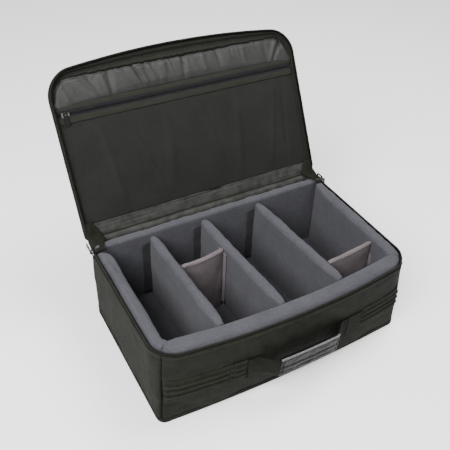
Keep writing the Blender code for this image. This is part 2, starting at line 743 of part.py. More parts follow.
def make_handle():
    """The handle's strap and its padded grip, carried on the line of the strap's top edge."""
    end = HANDLE_MIDDLE + HANDLE_HALF_SPAN
    axis_place = Vector((HANDLE_MIDDLE, strap_place(end, BAND_TOP), BAND_TOP))
    carrier = new_empty("handle_swing", axis_place)
    half = STRAP_THICKNESS / 2
    start = HANDLE_MIDDLE + GRIP_SHIFT - GRIP_LENGTH / 2
    stop = start + GRIP_LENGTH
    places = spread(start, stop, FRONT_STEPS // 2)
    left = spread(HANDLE_MIDDLE - HANDLE_HALF_SPAN + SEAT_GAP, start, FRONT_STEPS // 4)
    right = spread(stop, HANDLE_MIDDLE + HANDLE_HALF_SPAN - SEAT_GAP, FRONT_STEPS // 4)
    strap_places = left[:-1] + places + right[1:]
    strap = loft_mesh("handle_strap", strap_rings(strap_places, half, 0.0, half / 2, axis_place))
    new_object("handle_strap", strap, WEBBING, carrier)
    outer = strap_rings(places, GRIP_THICKNESS / 2, GRIP_OVERHANG, GRIP_ROUNDING, axis_place)
    inner = strap_rings(places, half + RUN_GAP, RUN_GAP, half / 2, axis_place)
    new_object("handle_grip", sleeve_mesh("handle_grip", outer, inner), GRIP, carrier)


def make_lid():
    """The lid: cover, foam, lining, binding and its half of the zip, drawn shut in its empty."""
    rings = [lid_outline(0.0, LID_WALL_LEVEL)]
    corner = rounded_corner(LID_EDGE_RADIUS, LID_DEPTH - LID_EDGE_RADIUS, LID_EDGE_RADIUS, 90)
    for inset, z in reversed(corner):
        rings.append(lid_outline(inset, z))
    cover = new_object("lid_cover", loft_mesh("lid_cover", rings), SHELL_FABRIC, LID)
    open_back = LID_BACK_RADIUS + LID_WALL
    hollow = [outline(LID_WALL, z, -LID_LENGTH, open_back, LID_CORNER_RADIUS, LID_BACK_RADIUS, lid_belly)
              for z in (-LID_DEPTH, COVER_LEVEL)]
    boolean(cover, tool_object("lid_hollow", loft_mesh("lid_hollow", hollow), LID), "DIFFERENCE")
    inset = LID_WALL + SEAT_GAP
    layers = (
        ("lid_foam_board", FOAM_LEVEL, COVER_LEVEL - SEAT_GAP, FOAM),
        ("lid_lining", LINING_LEVEL, LINING_LEVEL + LINING_THICKNESS, LINING),
    )
    for name, low, high, material in layers:
        mesh = loft_mesh(name, [lid_outline(inset, low), lid_outline(inset, high)])
        new_object(name, mesh, material, LID)
    path = rim_path(LID_CORNER_RADIUS, -LID_LENGTH, -BACK_CORNER_RADIUS)
    coil = coil_section(CHAIN_GAP / 2, CHAIN_GAP / 2 + COIL_RISE)
    new_object("lid_zip_coil", sweep_mesh("lid_zip_coil", path, coil, lid_belly), COIL, LID)
    tape = tape_section(LID_TAPE_LEVEL, LID_TAPE_LEVEL + TAPE_RISE)
    new_object("lid_zip_tape", sweep_mesh("lid_zip_tape", path, tape, lid_belly), TAPE, LID)
    make_binding()
    make_lid_back()


def make_binding():
    """The binding that holds the lining's and the pocket's edges against the lid's wall."""
    section = []
    for i in range(COIL_SIDES):
        angle = 2 * math.pi * (i + 0.5) / COIL_SIDES
        inset = BINDING_INSET + BINDING_RADIUS * math.cos(angle)
        section.append((inset, POCKET_MIDDLE_LEVEL + BINDING_RADIUS * math.sin(angle)))
    path = rim_path(LID_CORNER_RADIUS, -LID_LENGTH, -FLAP_START)
    new_object("lid_binding", sweep_mesh("lid_binding", path, section, lid_belly), TAPE, LID)


def make_lid_back():
    """The strip that closes the lid's back, close over the bead on the hinge line."""
    reach = HALF_WIDTH - LID_WALL - SEAT_GAP
    low = (-reach, -LID_BACK_THICKNESS, HINGE_BEAD_RADIUS + RUN_GAP)
    high = (reach, 0.0, COVER_LEVEL - SEAT_GAP)
    new_object("lid_back_strip", box_mesh("lid_back_strip", low, high), SHELL_FABRIC, LID)


def lid_plate(name, near, far, low, high, material):
    """A flat strip across the lid between two distances from the hinge."""
    mesh = box_mesh(name, (-POCKET_HALF_WIDTH, -far, low), (POCKET_HALF_WIDTH, -near, high))
    return new_object(name, mesh, material, LID)


def make_pocket():
    """The zipped pocket: mesh, hinge flap, two tapes and two coils."""
    tape_low = POCKET_MIDDLE_LEVEL - POCKET_TAPE_THICKNESS / 2
    tape_high = tape_low + POCKET_TAPE_THICKNESS
    flap_low = LINING_LEVEL - SEAT_GAP - FLAP_THICKNESS
    near = POCKET_CHAIN_DISTANCE - CHAIN_GAP / 2
    far = POCKET_CHAIN_DISTANCE + CHAIN_GAP / 2
    coil = POCKET_COIL_WIDTH
    width = POCKET_TAPE_WIDTH
    mesh_end = near - coil - SEAT_GAP - width - SEAT_GAP
    lid_plate("hinge_flap", FLAP_START, FLAP_END, flap_low, flap_low + FLAP_THICKNESS, SHELL_FABRIC)
    lid_plate("pocket_mesh", FLAP_END + SEAT_GAP, mesh_end, tape_low, tape_low + MESH_THICKNESS, MESH)
    lid_plate("pocket_tape_lower", near - coil - SEAT_GAP - width, near - coil - SEAT_GAP,
              tape_low, tape_high, TAPE)
    lid_plate("pocket_tape_upper", far + coil + SEAT_GAP, far + coil + SEAT_GAP + width,
              tape_low, tape_high, TAPE)
    coil_high = POCKET_COIL_LEVEL + POCKET_COIL_THICKNESS
    for name, start, stop in (("pocket_coil_lower", near - coil, near),
                              ("pocket_coil_upper", far, far + coil)):
        bevel(lid_plate(name, start, stop, POCKET_COIL_LEVEL, coil_high, COIL), coil / 4)


def plate_mesh(name, low, high):
    """A slider's plate: its outline narrows towards the tail."""
    half = SLIDER_LENGTH / 2
    wide = SLIDER_WIDTH / 2
    narrow = wide * SLIDER_NOSE_SHARE
    shape = [(-half, -narrow), (0.0, -wide), (half, -wide), (half, wide), (0.0, wide), (-half, narrow)]
    return loft_mesh(name, [[Vector((x, y, z)) for x, y in shape] for z in (low, high)])


def make_slider(name, coil_thickness, carrier, ears):
    """A zip slider in its own frame: the chain runs along X and the pull is on the +Z side."""
    inner = coil_thickness / 2 + RUN_GAP
    outer = inner + PLATE_THICKNESS
    made = new_object(name, plate_mesh(name, inner, outer), METAL, carrier)
    back = tool_object(name + "_back", plate_mesh(name + "_back", -outer, -inner), carrier)
    sink = PLATE_THICKNESS / 2
    bridge = box_mesh(name + "_bridge", (-BRIDGE_LENGTH / 2, -BRIDGE_THICKNESS / 2, -inner - sink),
                      (BRIDGE_LENGTH / 2, BRIDGE_THICKNESS / 2, inner + sink))
    boolean(made, tool_object(name + "_bridge", bridge, carrier), "UNION")
    boolean(made, back, "UNION")
    if ears:
        top = outer + EAR_HEIGHT
        for side in (-1, 1):
            near = side * (PULL_EYE_WIDTH / 2 + RUN_GAP)
            far = near + side * EAR_THICKNESS
            ear = box_mesh(name + "_ear", (-EAR_LENGTH / 2, min(near, far), outer - sink),
                           (EAR_LENGTH / 2, max(near, far), top))
            boolean(made, tool_object(name + "_ear", ear, carrier), "UNION")
        reach = PULL_EYE_WIDTH / 2 + RUN_GAP + EAR_THICKNESS / 2
        level = outer + PIN_RISE
        pin = rod_mesh(name + "_pin", (0.0, -reach, level), (0.0, reach, level), PIN_RADIUS, PIN_SIDES)
        boolean(made, tool_object(name + "_pin", pin, carrier), "UNION")
    else:
        post = rod_mesh(name + "_post", (0.0, 0.0, outer - sink),
                        (0.0, 0.0, outer + PULL_THICKNESS + SEAT_GAP), POST_RADIUS, POST_SIDES)
        boolean(made, tool_object(name + "_post", post, carrier), "UNION")


def round_end(middle, half, start):
    """Half a circle in the plane of a pull, counting up from the angle start."""
    made = []
    for i in range(ROUND_STEPS * 2 + 1):
        angle = math.radians(start + 180 * i / (ROUND_STEPS * 2))
        made.append((middle + half * math.cos(angle), half * math.sin(angle)))
    return made


def extruded(name, shape, low, high):
    """A flat outline given a thickness along Z."""
    return loft_mesh(name, [[Vector((x, y, z)) for x, y in shape] for z in (low, high)])


def make_pin_pull(name, carrier):
    """A pull that turns on the slider's cross pin: an eye, a neck and a slotted tab."""
    half = PULL_THICKNESS / 2
    eye = rod_mesh(name, (0.0, -PULL_EYE_WIDTH / 2, 0.0), (0.0, PULL_EYE_WIDTH / 2, 0.0),
                   PULL_EYE_RADIUS, EYE_SIDES)
    made = new_object(name, eye, METAL, carrier)
    neck = PULL_EYE_WIDTH / 2 * PULL_NECK_SHARE
    wide = PULL_WIDTH / 2
    start = (PIN_RADIUS + RUN_GAP + PULL_EYE_RADIUS) / 2
    shoulder = PULL_EYE_RADIUS + wide
    shape = [(shoulder, wide), (shoulder, neck), (start, neck), (start, -neck), (shoulder, -neck),
             (shoulder, -wide)]
    shape += round_end(PULL_LENGTH - wide, wide, -90)
    tab = extruded(name + "_tab", shape, -half, half)
    boolean(made, tool_object(name + "_tab", tab, carrier), "UNION")
    hole = rod_mesh(name + "_hole", (0.0, -PULL_EYE_WIDTH, 0.0), (0.0, PULL_EYE_WIDTH, 0.0),
                    PIN_RADIUS + RUN_GAP, PIN_SIDES)
    boolean(made, tool_object(name + "_hole", hole, carrier), "DIFFERENCE")
    slot_half = PULL_SLOT_WIDTH / 2
    far = PULL_LENGTH - wide
    shape = round_end(far, slot_half, -90) + round_end(far - PULL_SLOT_LENGTH, slot_half, 90)
    slot = extruded(name + "_slot", shape, -PULL_WIDTH, PULL_WIDTH)
    boolean(made, tool_object(name + "_slot", slot, carrier), "DIFFERENCE")


def make_post_pull(name, carrier):
    """A flat pull that swings on the pocket slider's post."""
    half = PULL_WIDTH / 2
    shape = [(-half, half), (-half, -half)] + round_end(PULL_LENGTH - PULL_WIDTH, half, -90)
    made = new_object(name, extruded(name, shape, 0.0, PULL_THICKNESS), CORD, carrier)
    hole = rod_mesh(name + "_hole", (0.0, 0.0, -PULL_WIDTH), (0.0, 0.0, PULL_WIDTH),
                    POST_RADIUS + RUN_GAP, POST_SIDES)
    boolean(made, tool_object(name + "_hole", hole, carrier), "DIFFERENCE")


def make_rim_sliders():
    """The two sliders of the main zip, parked at the back corners, each with its pull."""
    place_y = HALF_DEPTH - BACK_CORNER_RADIUS - SLIDER_END_ROOM
    back_turn = (0.0, 0.0, math.radians(180))
    for side, end in ((-1, "left"), (1, "right")):
        place_x = side * (HALF_WIDTH - ZIP_INSET)
        turn = (math.radians(-90 * side), 0.0, math.radians(-90))
        slider_place = new_empty("zip_slide_" + end, (place_x, place_y, ZIP_LEVEL), turn)
        make_slider("zip_slider_" + end, COIL_THICKNESS, slider_place, True)
        pin_place = (0.0, 0.0, SLIDER_REACH + PIN_RISE)
        pull_place = new_empty("zip_pull_turn_" + end, pin_place, back_turn, slider_place)
        make_pin_pull("zip_pull_" + end, pull_place)


def make_pocket_slider():
    """The pocket's slider at the chain's left end, with its pull hanging."""
    place = (POCKET_SLIDER_ROOM - POCKET_HALF_WIDTH, -POCKET_CHAIN_DISTANCE, POCKET_MIDDLE_LEVEL)
    carrier = new_empty("pocket_slide", place, (math.radians(180), 0.0, math.radians(180)), LID)
    make_slider("pocket_slider", POCKET_COIL_THICKNESS, carrier, False)
    level = POCKET_COIL_THICKNESS / 2 + RUN_GAP + PLATE_THICKNESS + SEAT_GAP
    hanging = new_empty("pocket_pull_turn", (0.0, 0.0, level), (0.0, 0.0, math.radians(90)), carrier)
    make_post_pull("pocket_pull", hanging)


def divider_middle(index, y):
    """The middle of a long divider, which stands a little askew."""
    return BAG_WIDTH * DIVIDER_PLACE_SHARES[index] - DIVIDER_SLOPE_SHARES[index] * y


def divider_section(half, top, rounding):
    """A divider's section: straight faces and a rolled top."""
    levels = wall_levels(PAD_FOOT, top - rounding)[:-1]
    right = [(half, z) for z in levels] + rounded_corner(half - rounding, top - rounding, rounding, 0)
    left = rounded_corner(rounding - half, top - rounding, rounding, 90)
    return right + left + [(-half, z) for z in reversed(levels)]


def make_long_divider(index):
    """One divider from front to back, with a hook tab at each end."""
    name = "divider_" + str(index + 1)
    half = DIVIDER_THICKNESS / 2
    back_tab = BACK_FACE - RUN_GAP - TAB_THICKNESS
    front_tab = FRONT_FACE + DIVIDER_FRONT_ROOM + TAB_THICKNESS
    start = back_tab - SEAT_GAP
    stop = front_tab + SEAT_GAP
    section = divider_section(half, DIVIDER_TOP, DIVIDER_ROUNDING)
    steps = FRONT_STEPS // 2
    rings = []
    for i in range(steps + 1):
        y = start + (stop - start) * i / steps
        middle = divider_middle(index, y)
        rings.append([belly(middle + across, y, z) for across, z in section])
    new_object(name, loft_mesh(name, rings), PADDING)
    levels = wall_levels(PAD_FOOT + TAB_LIFT, DIVIDER_TOP - TAB_DROP)
    ends = (("_tab_back", back_tab, back_tab + TAB_THICKNESS, -half - TAB_OVERHANG, half),
            ("_tab_front", front_tab - TAB_THICKNESS, front_tab, -half, half + TAB_OVERHANG))
    for suffix, near, far, left, right in ends:
        middle = divider_middle(index, near)
        rings = []
        for z in levels:
            low = []
            high = []
            for i in range(TAB_STEPS + 1):
                along = (right - left) * i / TAB_STEPS
                low.append(belly(middle + left + along, near, z))
                high.append(belly(middle + right - along, far, z))
            rings.append(low + high)
        new_object(name + suffix, loft_mesh(name + suffix, rings), HOOK)


def make_cross_divider(name, place, skew, bow, left_face, right_face):
    """A short divider between two faces, bowed to the front, with a tab along each face. It
    stands askew, so that its right end lies further back than its left end by skew."""
    half = CROSS_THICKNESS / 2
    room = 2 * SEAT_GAP + TAB_THICKNESS
    section = divider_section(half, CROSS_TOP, CROSS_ROUNDING)
    steps = FRONT_STEPS // 2
    rings = []
    for i in range(steps + 1):
        share = 2 * i / steps - 1
        ring = []
        for across, z in section:
            y = place + skew / 2 * share - bow * (1.0 - share * share) + across
            start = left_face(y) + room
            stop = right_face(y) - room
            ring.append(Vector((start + (stop - start) * i / steps, y, z)))
        rings.append(ring)
    new_object(name, loft_mesh(name, rings), CROSS_PADDING)
    low = PAD_FOOT + TAB_LIFT
    high = CROSS_TOP - TAB_LIFT
    ends = (("_tab_left", left_face, 1), ("_tab_right", right_face, -1))
    for suffix, face, inward in ends:
        back = place - inward * skew / 2 + CROSS_TAB_LENGTH / 2
        front = back - CROSS_TAB_LENGTH
        near = inward * SEAT_GAP
        far = near + inward * TAB_THICKNESS
        corners = [(face(back) + near, back), (face(front) + near, front), (face(front) + far, front),
                   (face(back) + far, back)]
        rings = [[Vector((x, y, z)) for x, y in corners] for z in (low, high)]
        new_object(name + suffix, loft_mesh(name + suffix, rings), CROSS_PADDING)


def make_dividers():
    """Three long dividers and the two short ones between them."""
    for index in range(len(DIVIDER_PLACE_SHARES)):
        make_long_divider(index)
    half = DIVIDER_THICKNESS / 2
    make_cross_divider("cross_divider_back", CROSS_BACK_PLACE, CROSS_BACK_SKEW, CROSS_BACK_BOW,
                       lambda y: divider_middle(0, y) + half, lambda y: divider_middle(1, y) - half)
    make_cross_divider("cross_divider_front", CROSS_FRONT_PLACE, CROSS_FRONT_SKEW, CROSS_FRONT_BOW,
                       lambda y: divider_middle(2, y) + half, lambda y: SIDE_FACE)


clear_scene()
PARTS = new_collection("camera_bag_insert")
TOOLS = new_collection("cutting_tools")
SHELL_FABRIC = new_material("shell_fabric", (0.034, 0.035, 0.031), 0.92)
PADDING = new_material("padding_fleece", (0.165, 0.165, 0.180), 0.97)
CROSS_PADDING = new_material("cross_padding_fleece", (0.300, 0.255, 0.265), 0.97)
HOOK = new_material("hook_tape", (0.012, 0.012, 0.012), 0.95)
WEBBING = new_material("webbing", (0.036, 0.037, 0.034), 0.85)
GRIP = new_material("grip_leatherette", (0.012, 0.012, 0.012), 0.32)
TAPE = new_material("zip_tape", (0.020, 0.020, 0.018), 0.85)
COIL = new_material("zip_coil", (0.030, 0.031, 0.036), 0.45)
METAL = new_material("slider_metal", (0.560, 0.560, 0.560), 0.28, 1.0)
CORD = new_material("pull_cord", (0.015, 0.015, 0.015), 0.60)
LINING = new_material("lid_lining_nylon", (0.110, 0.110, 0.112), 0.60)
MESH = new_material("pocket_mesh_fabric", (0.020, 0.020, 0.021), 0.70)
FOAM = new_material("foam_board", (0.250, 0.250, 0.250), 0.95)
LID = new_empty("lid_hinge", (0.0, HALF_DEPTH, ZIP_LEVEL), (-OPEN_ANGLE, 0.0, 0.0))

make_base_panels()
make_liners()
make_rim_zip()
make_hinge()
make_gussets()
make_front_bands()
make_handle_anchors()
make_handle()
make_lid()
make_pocket()
make_rim_sliders()
make_pocket_slider()
make_dividers()
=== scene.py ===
"""Looks of the camera bag insert: fabric walls, fleece padding, zips, lid pocket and handle,
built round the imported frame. Metres, in the frame's own axes."""
import json
import random
from math import copysign, cos, exp, hypot, pi, radians, sin, sqrt, tau

import bmesh
import bpy
from mathutils import Matrix, Vector, noise


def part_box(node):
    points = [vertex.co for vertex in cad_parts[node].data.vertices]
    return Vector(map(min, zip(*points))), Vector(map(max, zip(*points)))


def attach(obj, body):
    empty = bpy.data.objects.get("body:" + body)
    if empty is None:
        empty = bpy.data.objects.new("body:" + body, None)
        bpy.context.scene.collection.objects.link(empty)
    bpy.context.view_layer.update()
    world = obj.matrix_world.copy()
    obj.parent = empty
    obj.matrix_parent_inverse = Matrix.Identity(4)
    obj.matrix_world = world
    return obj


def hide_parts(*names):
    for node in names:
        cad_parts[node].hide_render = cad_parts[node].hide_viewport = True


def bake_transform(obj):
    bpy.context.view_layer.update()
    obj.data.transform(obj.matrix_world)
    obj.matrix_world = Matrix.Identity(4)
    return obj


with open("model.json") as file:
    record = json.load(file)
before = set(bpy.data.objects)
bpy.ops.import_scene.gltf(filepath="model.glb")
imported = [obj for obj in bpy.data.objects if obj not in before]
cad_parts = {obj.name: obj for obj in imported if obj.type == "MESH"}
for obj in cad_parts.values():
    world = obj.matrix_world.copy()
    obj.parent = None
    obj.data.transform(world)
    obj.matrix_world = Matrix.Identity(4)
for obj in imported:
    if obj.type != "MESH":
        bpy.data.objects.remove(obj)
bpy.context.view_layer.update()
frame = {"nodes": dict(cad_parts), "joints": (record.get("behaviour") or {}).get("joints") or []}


def low(node):
    """A node's lowest corner."""
    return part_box(node)[0]


def high(node):
    """A node's highest corner."""
    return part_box(node)[1]


# Sizes read from the frame
HINGE_JOINT = next(joint for joint in frame["joints"] if joint["name"] == "lid_hinge")
HINGE = Vector(HINGE_JOINT["pos_m"])
OPEN_ANGLE = radians(HINGE_JOINT["range_deg"][1])
HALF_WIDTH = high("base_bottom").x
HALF_DEPTH = high("base_back_panel").y
RIM_HEIGHT = high("base_left_panel").z
PANEL_FOOT = low("base_left_panel").z
PAD_FOOT = low("liner_left").z
PAD_TOP = high("liner_left").z
FLOOR_TOP = high("liner_floor").z
BACK_FACE = low("liner_back").y
DIVIDER_TOP = high("divider_1").z
CROSS_TOP = high("cross_divider_back").z
BAND_BOTTOM = low("front_band_left").z
BAND_TOP = high("front_band_left").z

# Sizes of the base, repeated from the model
FRONT_RADIUS = 0.042
FOOT_RADIUS = 0.014
BACK_RADIUS = 0.018
RIM_BOW = 0.022
FLOOR_BOW = 0.0095
BOW_POWER = 3
BOTTOM_EDGE = 0.004
PANEL = 0.005
PAD_INSET = 0.0058
SIDE_PAD = 0.019
FRONT_PAD = 0.028
BACK_PAD = 0.020
FRONT_FACE = PAD_INSET + FRONT_PAD - HALF_DEPTH
SIDE_FACE = HALF_WIDTH - PAD_INSET - SIDE_PAD
ZIP_INSET = 0.002
COIL_MIDDLE = 0.00495
COIL_HALF_HEIGHT = 0.0013
COIL_HALF_WIDTH = 0.0011

# Sizes of the lid, repeated from the model
LID_LENGTH = 0.300
LID_BOW = 0.018
LID_RADIUS = 0.046
LID_DEPTH = 0.021
LID_WALL = 0.004
LID_WALL_LEVEL = 0.007
LID_SETBACK = 0.0015
LID_COIL_LEVEL = 0.00205
LINING_LEVEL = 0.0141
POCKET_CHAIN = 0.228
POCKET_LEVEL = 0.0108
FLAP_END = 0.030

# Sizes of the dividers and the handle, repeated from the model
DIVIDER = 0.018
DIVIDER_PLACES = (-0.131, -0.021, 0.100)
DIVIDER_SLOPES = (0.035, 0.065, 0.075)
DIVIDER_FRONT_ROOM = 0.0032
TAB = 0.0015
TAB_OVERHANG = 0.014
CROSS = 0.009
HANDLE_MIDDLE = 0.004
HALF_SPAN = 0.102
ANCHOR = 0.030
ANCHOR_THICKNESS = 0.0034
STRAP = 0.002
STANDOFF = 0.020
GRIP_START = -0.051
GRIP_END = 0.067

# Seams and soft edges of the walls and pads
HEM_GROOVE = 0.153
HEM_BULGE = 0.0009
HEM_ROLL = 0.002
SEAM_DEPTH = 0.0036
SEAM_WIDTH = 0.0016
SHOULDER = 0.014
INNER_SHOULDER = 0.0085
END_REACH = 0.10
SWELL_STEPS = 20
SWELL_PRESSURE = 4.0
TAB_ROUND = 0.008
TAB_SHIFT = 0.0010
CROSS_TAB_SHIFT = 0.0014

# Zip coils and stitches
COIL_PITCH = 0.0018
WIRE = 0.00042
WIRE_SIDES = 5
TURN_STEPS = 8
STITCH_SIDES = 6

# The lid's cover, lining, binding and pocket
COVER_INSET = 0.0045
FOLD_DEPTH = 0.0040
LINING_NEAREST = 0.0076
LINING_SEAM = 0.0130
GATHER = 0.0048
BINDING_SIDE = 0.0105
BINDING_START = 0.0038
BINDING_RISE = 0.0060
BINDING_FALL = 0.0062
BINDING_TOP_FALL = -0.0004
BINDING_STEPS = 16
BINDING_DARK = ((0.0, 0.14), (0.34, 0.50), (0.86, 1.0))
BINDING_INSET = 0.006
STRIP_HALF = 0.242
TAPE_NEAR = 0.0027
TAPE_FAR = 0.0159

# Ribbed band and grip
RIDGES = 3
RIDGE_HEIGHT = 0.0025
RIDGE_PITCH = (BAND_TOP - BAND_BOTTOM) / (RIDGES + 1)
GRIP_HALF = 0.0045
GRIP_LOW = 0.0002
GRIP_RISE = 0.0018
GRIP_SEAM = 0.0050
GRIP_LIFT = 0.0062
GRIP_SEAMS = (0.0, 0.30, 0.56, 1.0)
PIPING_RADIUS = 0.0019

# The photograph's camera
CAMERA_PLACE = (-0.476434, -0.723210, 0.920173)
CAMERA_AZIMUTH = radians(-30.34)
CAMERA_ELEVATION = radians(38.82)
CAMERA_ROLL = radians(2.34)
CAMERA_LENS = 51.03

# Steps
PITCH = 0.004
FINE = 0.0025
GAP = 0.0003
UP = Vector((0.0, 0.0, 1.0))
WHITE = (1.0, 1.0, 1.0, 1.0)
RANDOM = random.Random(7)
SOFT = []


def clamp(value, least=0.0, most=1.0):
    """A value kept between two others."""
    return min(max(value, least), most)


def even(start, stop, steps):
    """Evenly spaced values."""
    return [start + (stop - start) * i / steps for i in range(steps + 1)]


def spread(start, stop, pitch):
    """Evenly spaced values with about this pitch."""
    return even(start, stop, max(1, round(abs(stop - start) / pitch)))


def turns(count):
    """Evenly spaced angles round a circle."""
    return [tau * k / count for k in range(count)]


def bump_at(value, middle, width):
    """A smooth hump of height one."""
    return exp(-((value - middle) / width) ** 2)


def two_bumps(value, first, second, width):
    """Two smooth humps of height one."""
    return bump_at(value, first, width) + bump_at(value, second, width)


def grain(x, y, z, size=1.0):
    """Smooth noise from -1 to 1."""
    return noise.noise(Vector((x, y, z)) / size)


def waves(along, size, seed):
    """Smooth noise along a line, from -1 to 1."""
    return grain(along / size, seed * 3.7, seed * 1.9)


def round_edge(share):
    """The height of a quarter round at a share of its width."""
    return sqrt(max(1.0 - (1.0 - share) ** 2, 0.0))


def drawn_back(x, half, radius):
    """How far the rounded corner of a plate, half wide, draws back at x."""
    past = max(0.0, abs(x) - (half - radius))
    return radius - sqrt(max(radius * radius - past * past, 0.0))


def corner_growth(across, along):
    """How much further out a front corner lies at the floor than at the rim, as a factor on a
    point's distances from the middle of the rim's corner arc."""
    reach = hypot(across, along)
    larger = max(across, along)
    inner = FRONT_RADIUS - FOOT_RADIUS
    if min(across, along) * FRONT_RADIUS <= larger * inner:
        return reach / larger
    total = inner * (across + along)
    root = sqrt(total * total - reach * reach * (2 * inner * inner - FOOT_RADIUS ** 2))
    return (total + root) / (reach * FRONT_RADIUS)


def belly(x, y, z):
    """A point of the straight-sided bag, moved to where the front wall bellies out and to where
    the front corners grow squarer towards the floor."""
    height = clamp(z / RIM_HEIGHT)
    bow = RIM_BOW - (RIM_BOW - FLOOR_BOW) * (1.0 - height) ** BOW_POWER
    across = 1.0 - (x / HALF_WIDTH) ** 2
    reach = clamp(-y / (HALF_DEPTH - FRONT_RADIUS))
    corner_x = abs(x) - HALF_WIDTH + FRONT_RADIUS
    corner_y = -y - HALF_DEPTH + FRONT_RADIUS
    if corner_x > 0.0 and corner_y > 0.0:
        grow = (corner_growth(corner_x, corner_y) - 1.0) * (1.0 - height)
        x += copysign(corner_x * grow, x)
        y -= corner_y * grow
    return Vector((x, y - bow * across * reach * reach, z))


def straight(x, y, z):
    """A point of the base that no belly moves."""
    return Vector((x, y, z))


def in_lid(x, y, w):
    """A point drawn on the shut lid, y zero at the hinge, moved to the open lid."""
    return Matrix.Rotation(-OPEN_ANGLE, 3, "X") @ Vector((x, y, w)) + HINGE


def lid_belly(x, y, w):
    """A point of the straight-sided lid, moved to its bowed front edge, on the open lid."""
    across = 1.0 - (x / HALF_WIDTH) ** 2
    reach = clamp(-y / (LID_LENGTH - LID_RADIUS))
    return in_lid(x, y - LID_BOW * across * reach * reach, w)


def lid_direction(y, w):
    """A direction of the shut lid, turned with the open lid."""
    return (in_lid(0.0, y, w) - in_lid(0.0, 0.0, 0.0)).normalized()


def arc(centre_x, centre_y, radius, start, stop, pitch=PITCH):
    """Stations round a corner: x, y and the direction into the bag."""
    steps = max(3, round(radius * radians(abs(stop - start)) / pitch))
    made = []
    for angle in map(radians, even(start, stop, steps)):
        made.append((centre_x + radius * cos(angle), centre_y + radius * sin(angle),
                     -cos(angle), -sin(angle)))
    return made


def line(start, stop, inward, pitch=PITCH):
    """Stations along a straight wall."""
    steps = max(1, round((Vector(stop) - Vector(start)).length / pitch))
    places = zip(*(even(a, b, steps) for a, b in zip(start, stop)))
    return [(x, y, *inward) for x, y in places]


def joined(*stretches):
    """Joins stretches of a wall."""
    made = list(stretches[0])
    for stretch in stretches[1:]:
        made.extend(stretch[1:])
    return made


def mirrored(stations):
    """The same stretch on the other side of the bag."""
    return [(-x, y, -in_x, in_y) for x, y, in_x, in_y in reversed(stations)]


def distances(stations):
    """How far along the wall each station is."""
    made = [0.0]
    for here, there in zip(stations, stations[1:]):
        made.append(made[-1] + hypot(there[0] - here[0], there[1] - here[1]))
    return made


def left_side(radius, y_front, y_back, pitch=PITCH):
    """Stations from the back end of the left side to the middle of the front corner."""
    return joined(line((-HALF_WIDTH, y_back), (-HALF_WIDTH, y_front + radius), (1.0, 0.0), pitch),
                  arc(radius - HALF_WIDTH, y_front + radius, radius, 180, 225, pitch))


def front_side(radius, y_front, pitch=PITCH):
    """Stations of the front, from one corner's middle to the other's."""
    edge = HALF_WIDTH - radius
    return joined(arc(-edge, y_front + radius, radius, 225, 270, pitch),
                  line((-edge, y_front), (edge, y_front), (0.0, 1.0), pitch),
                  arc(edge, y_front + radius, radius, 270, 315, pitch))


def back_side(radius, y_back, start, stop, pitch=PITCH):
    """Stations of the back, with arcs of its corners from start to 90 and from 90 to stop."""
    edge = HALF_WIDTH - radius
    return joined(arc(edge, y_back - radius, radius, start, 90, pitch),
                  line((edge, y_back), (-edge, y_back), (0.0, -1.0)),
                  arc(-edge, y_back - radius, radius, 90, stop, pitch))


def rim_path(radius, y_front, y_back, pitch=PITCH):
    """Stations round the three sides that a zip follows."""
    left = left_side(radius, y_front, y_back, pitch)
    return joined(left, front_side(radius, y_front, pitch), mirrored(left))


def closed_path(radius, back_radius, y_front, y_back):
    """Stations round the whole plan."""
    return joined(rim_path(radius, y_front, y_back - back_radius),
                  back_side(back_radius, y_back, 0, 180))[:-1]


def densify_ends(stations):
    """Adds stations close to both ends, where the seams are."""
    def between(a, b):
        return [tuple(p + (q - p) * share for p, q in zip(a, b)) for share in (0.25, 0.5, 0.75)]

    return [stations[0], *between(stations[0], stations[1]), *stations[1:-1],
            *reversed(between(stations[-1], stations[-2])), stations[-1]]


def at(station, inset, level, bend):
    """A point inside a station, at a level."""
    x, y, in_x, in_y = station
    return bend(x + in_x * inset, y + in_y * inset, level)


def ring_rows(stations, section, bend):
    """Rows of a swept section. section gets the distance along and the whole length."""
    along = distances(stations)
    return [[at(station, inset, level, bend) for inset, level in section(s, along[-1])]
            for station, s in zip(stations, along)]


def path_rings(path, profile, bend):
    """Rings round a closed path, one for each (inset, level) of a profile."""
    return [[at(station, inset, level, bend) for station in path] for inset, level in profile]


def plate_rows(half, radius, front, back, level, bend, pitch):
    """Rows across a plate whose front corners are rounded. level gives the height of a point."""
    return [[bend(x, y, level(x, y)) for y in even(drawn_back(x, half, radius) - front, back, 60)]
            for x in spread(-half, half, pitch)]


def quarter(inset, level, radius, start, steps=5, tall=None):
    """Points of a quarter round in a section of (inset, height), from start to start less 90."""
    return [(inset + radius * cos(angle), level + (tall or radius) * sin(angle))
            for angle in map(radians, even(start, start - 90, steps))]


def grid_mesh(name, rows, ring=False, capped=False):
    """A mesh through rows of points."""
    count = len(rows[0])
    faces = []
    for i in range(0, (len(rows) - 1) * count, count):
        for j in range(count if ring else count - 1):
            k = (j + 1) % count
            faces.append((i + j, i + k, i + count + k, i + count + j))
    if capped:
        faces.append(tuple(reversed(range(count))))
        faces.append(tuple((len(rows) - 1) * count + j for j in range(count)))
    return new_mesh(name, [point for row in rows for point in row], faces)


def new_mesh(name, points, faces):
    """A mesh with its faces turned outwards."""
    mesh = bpy.data.meshes.new(name)
    mesh.from_pydata([tuple(point) for point in points], [], faces)
    bm = bmesh.new()
    bm.from_mesh(mesh)
    bmesh.ops.recalc_face_normals(bm, faces=bm.faces)
    bm.to_mesh(mesh)
    bm.free()
    return mesh


def linked(name, data):
    """A new object in the scene."""
    made = bpy.data.objects.new(name, data)
    bpy.context.scene.collection.objects.link(made)
    return made


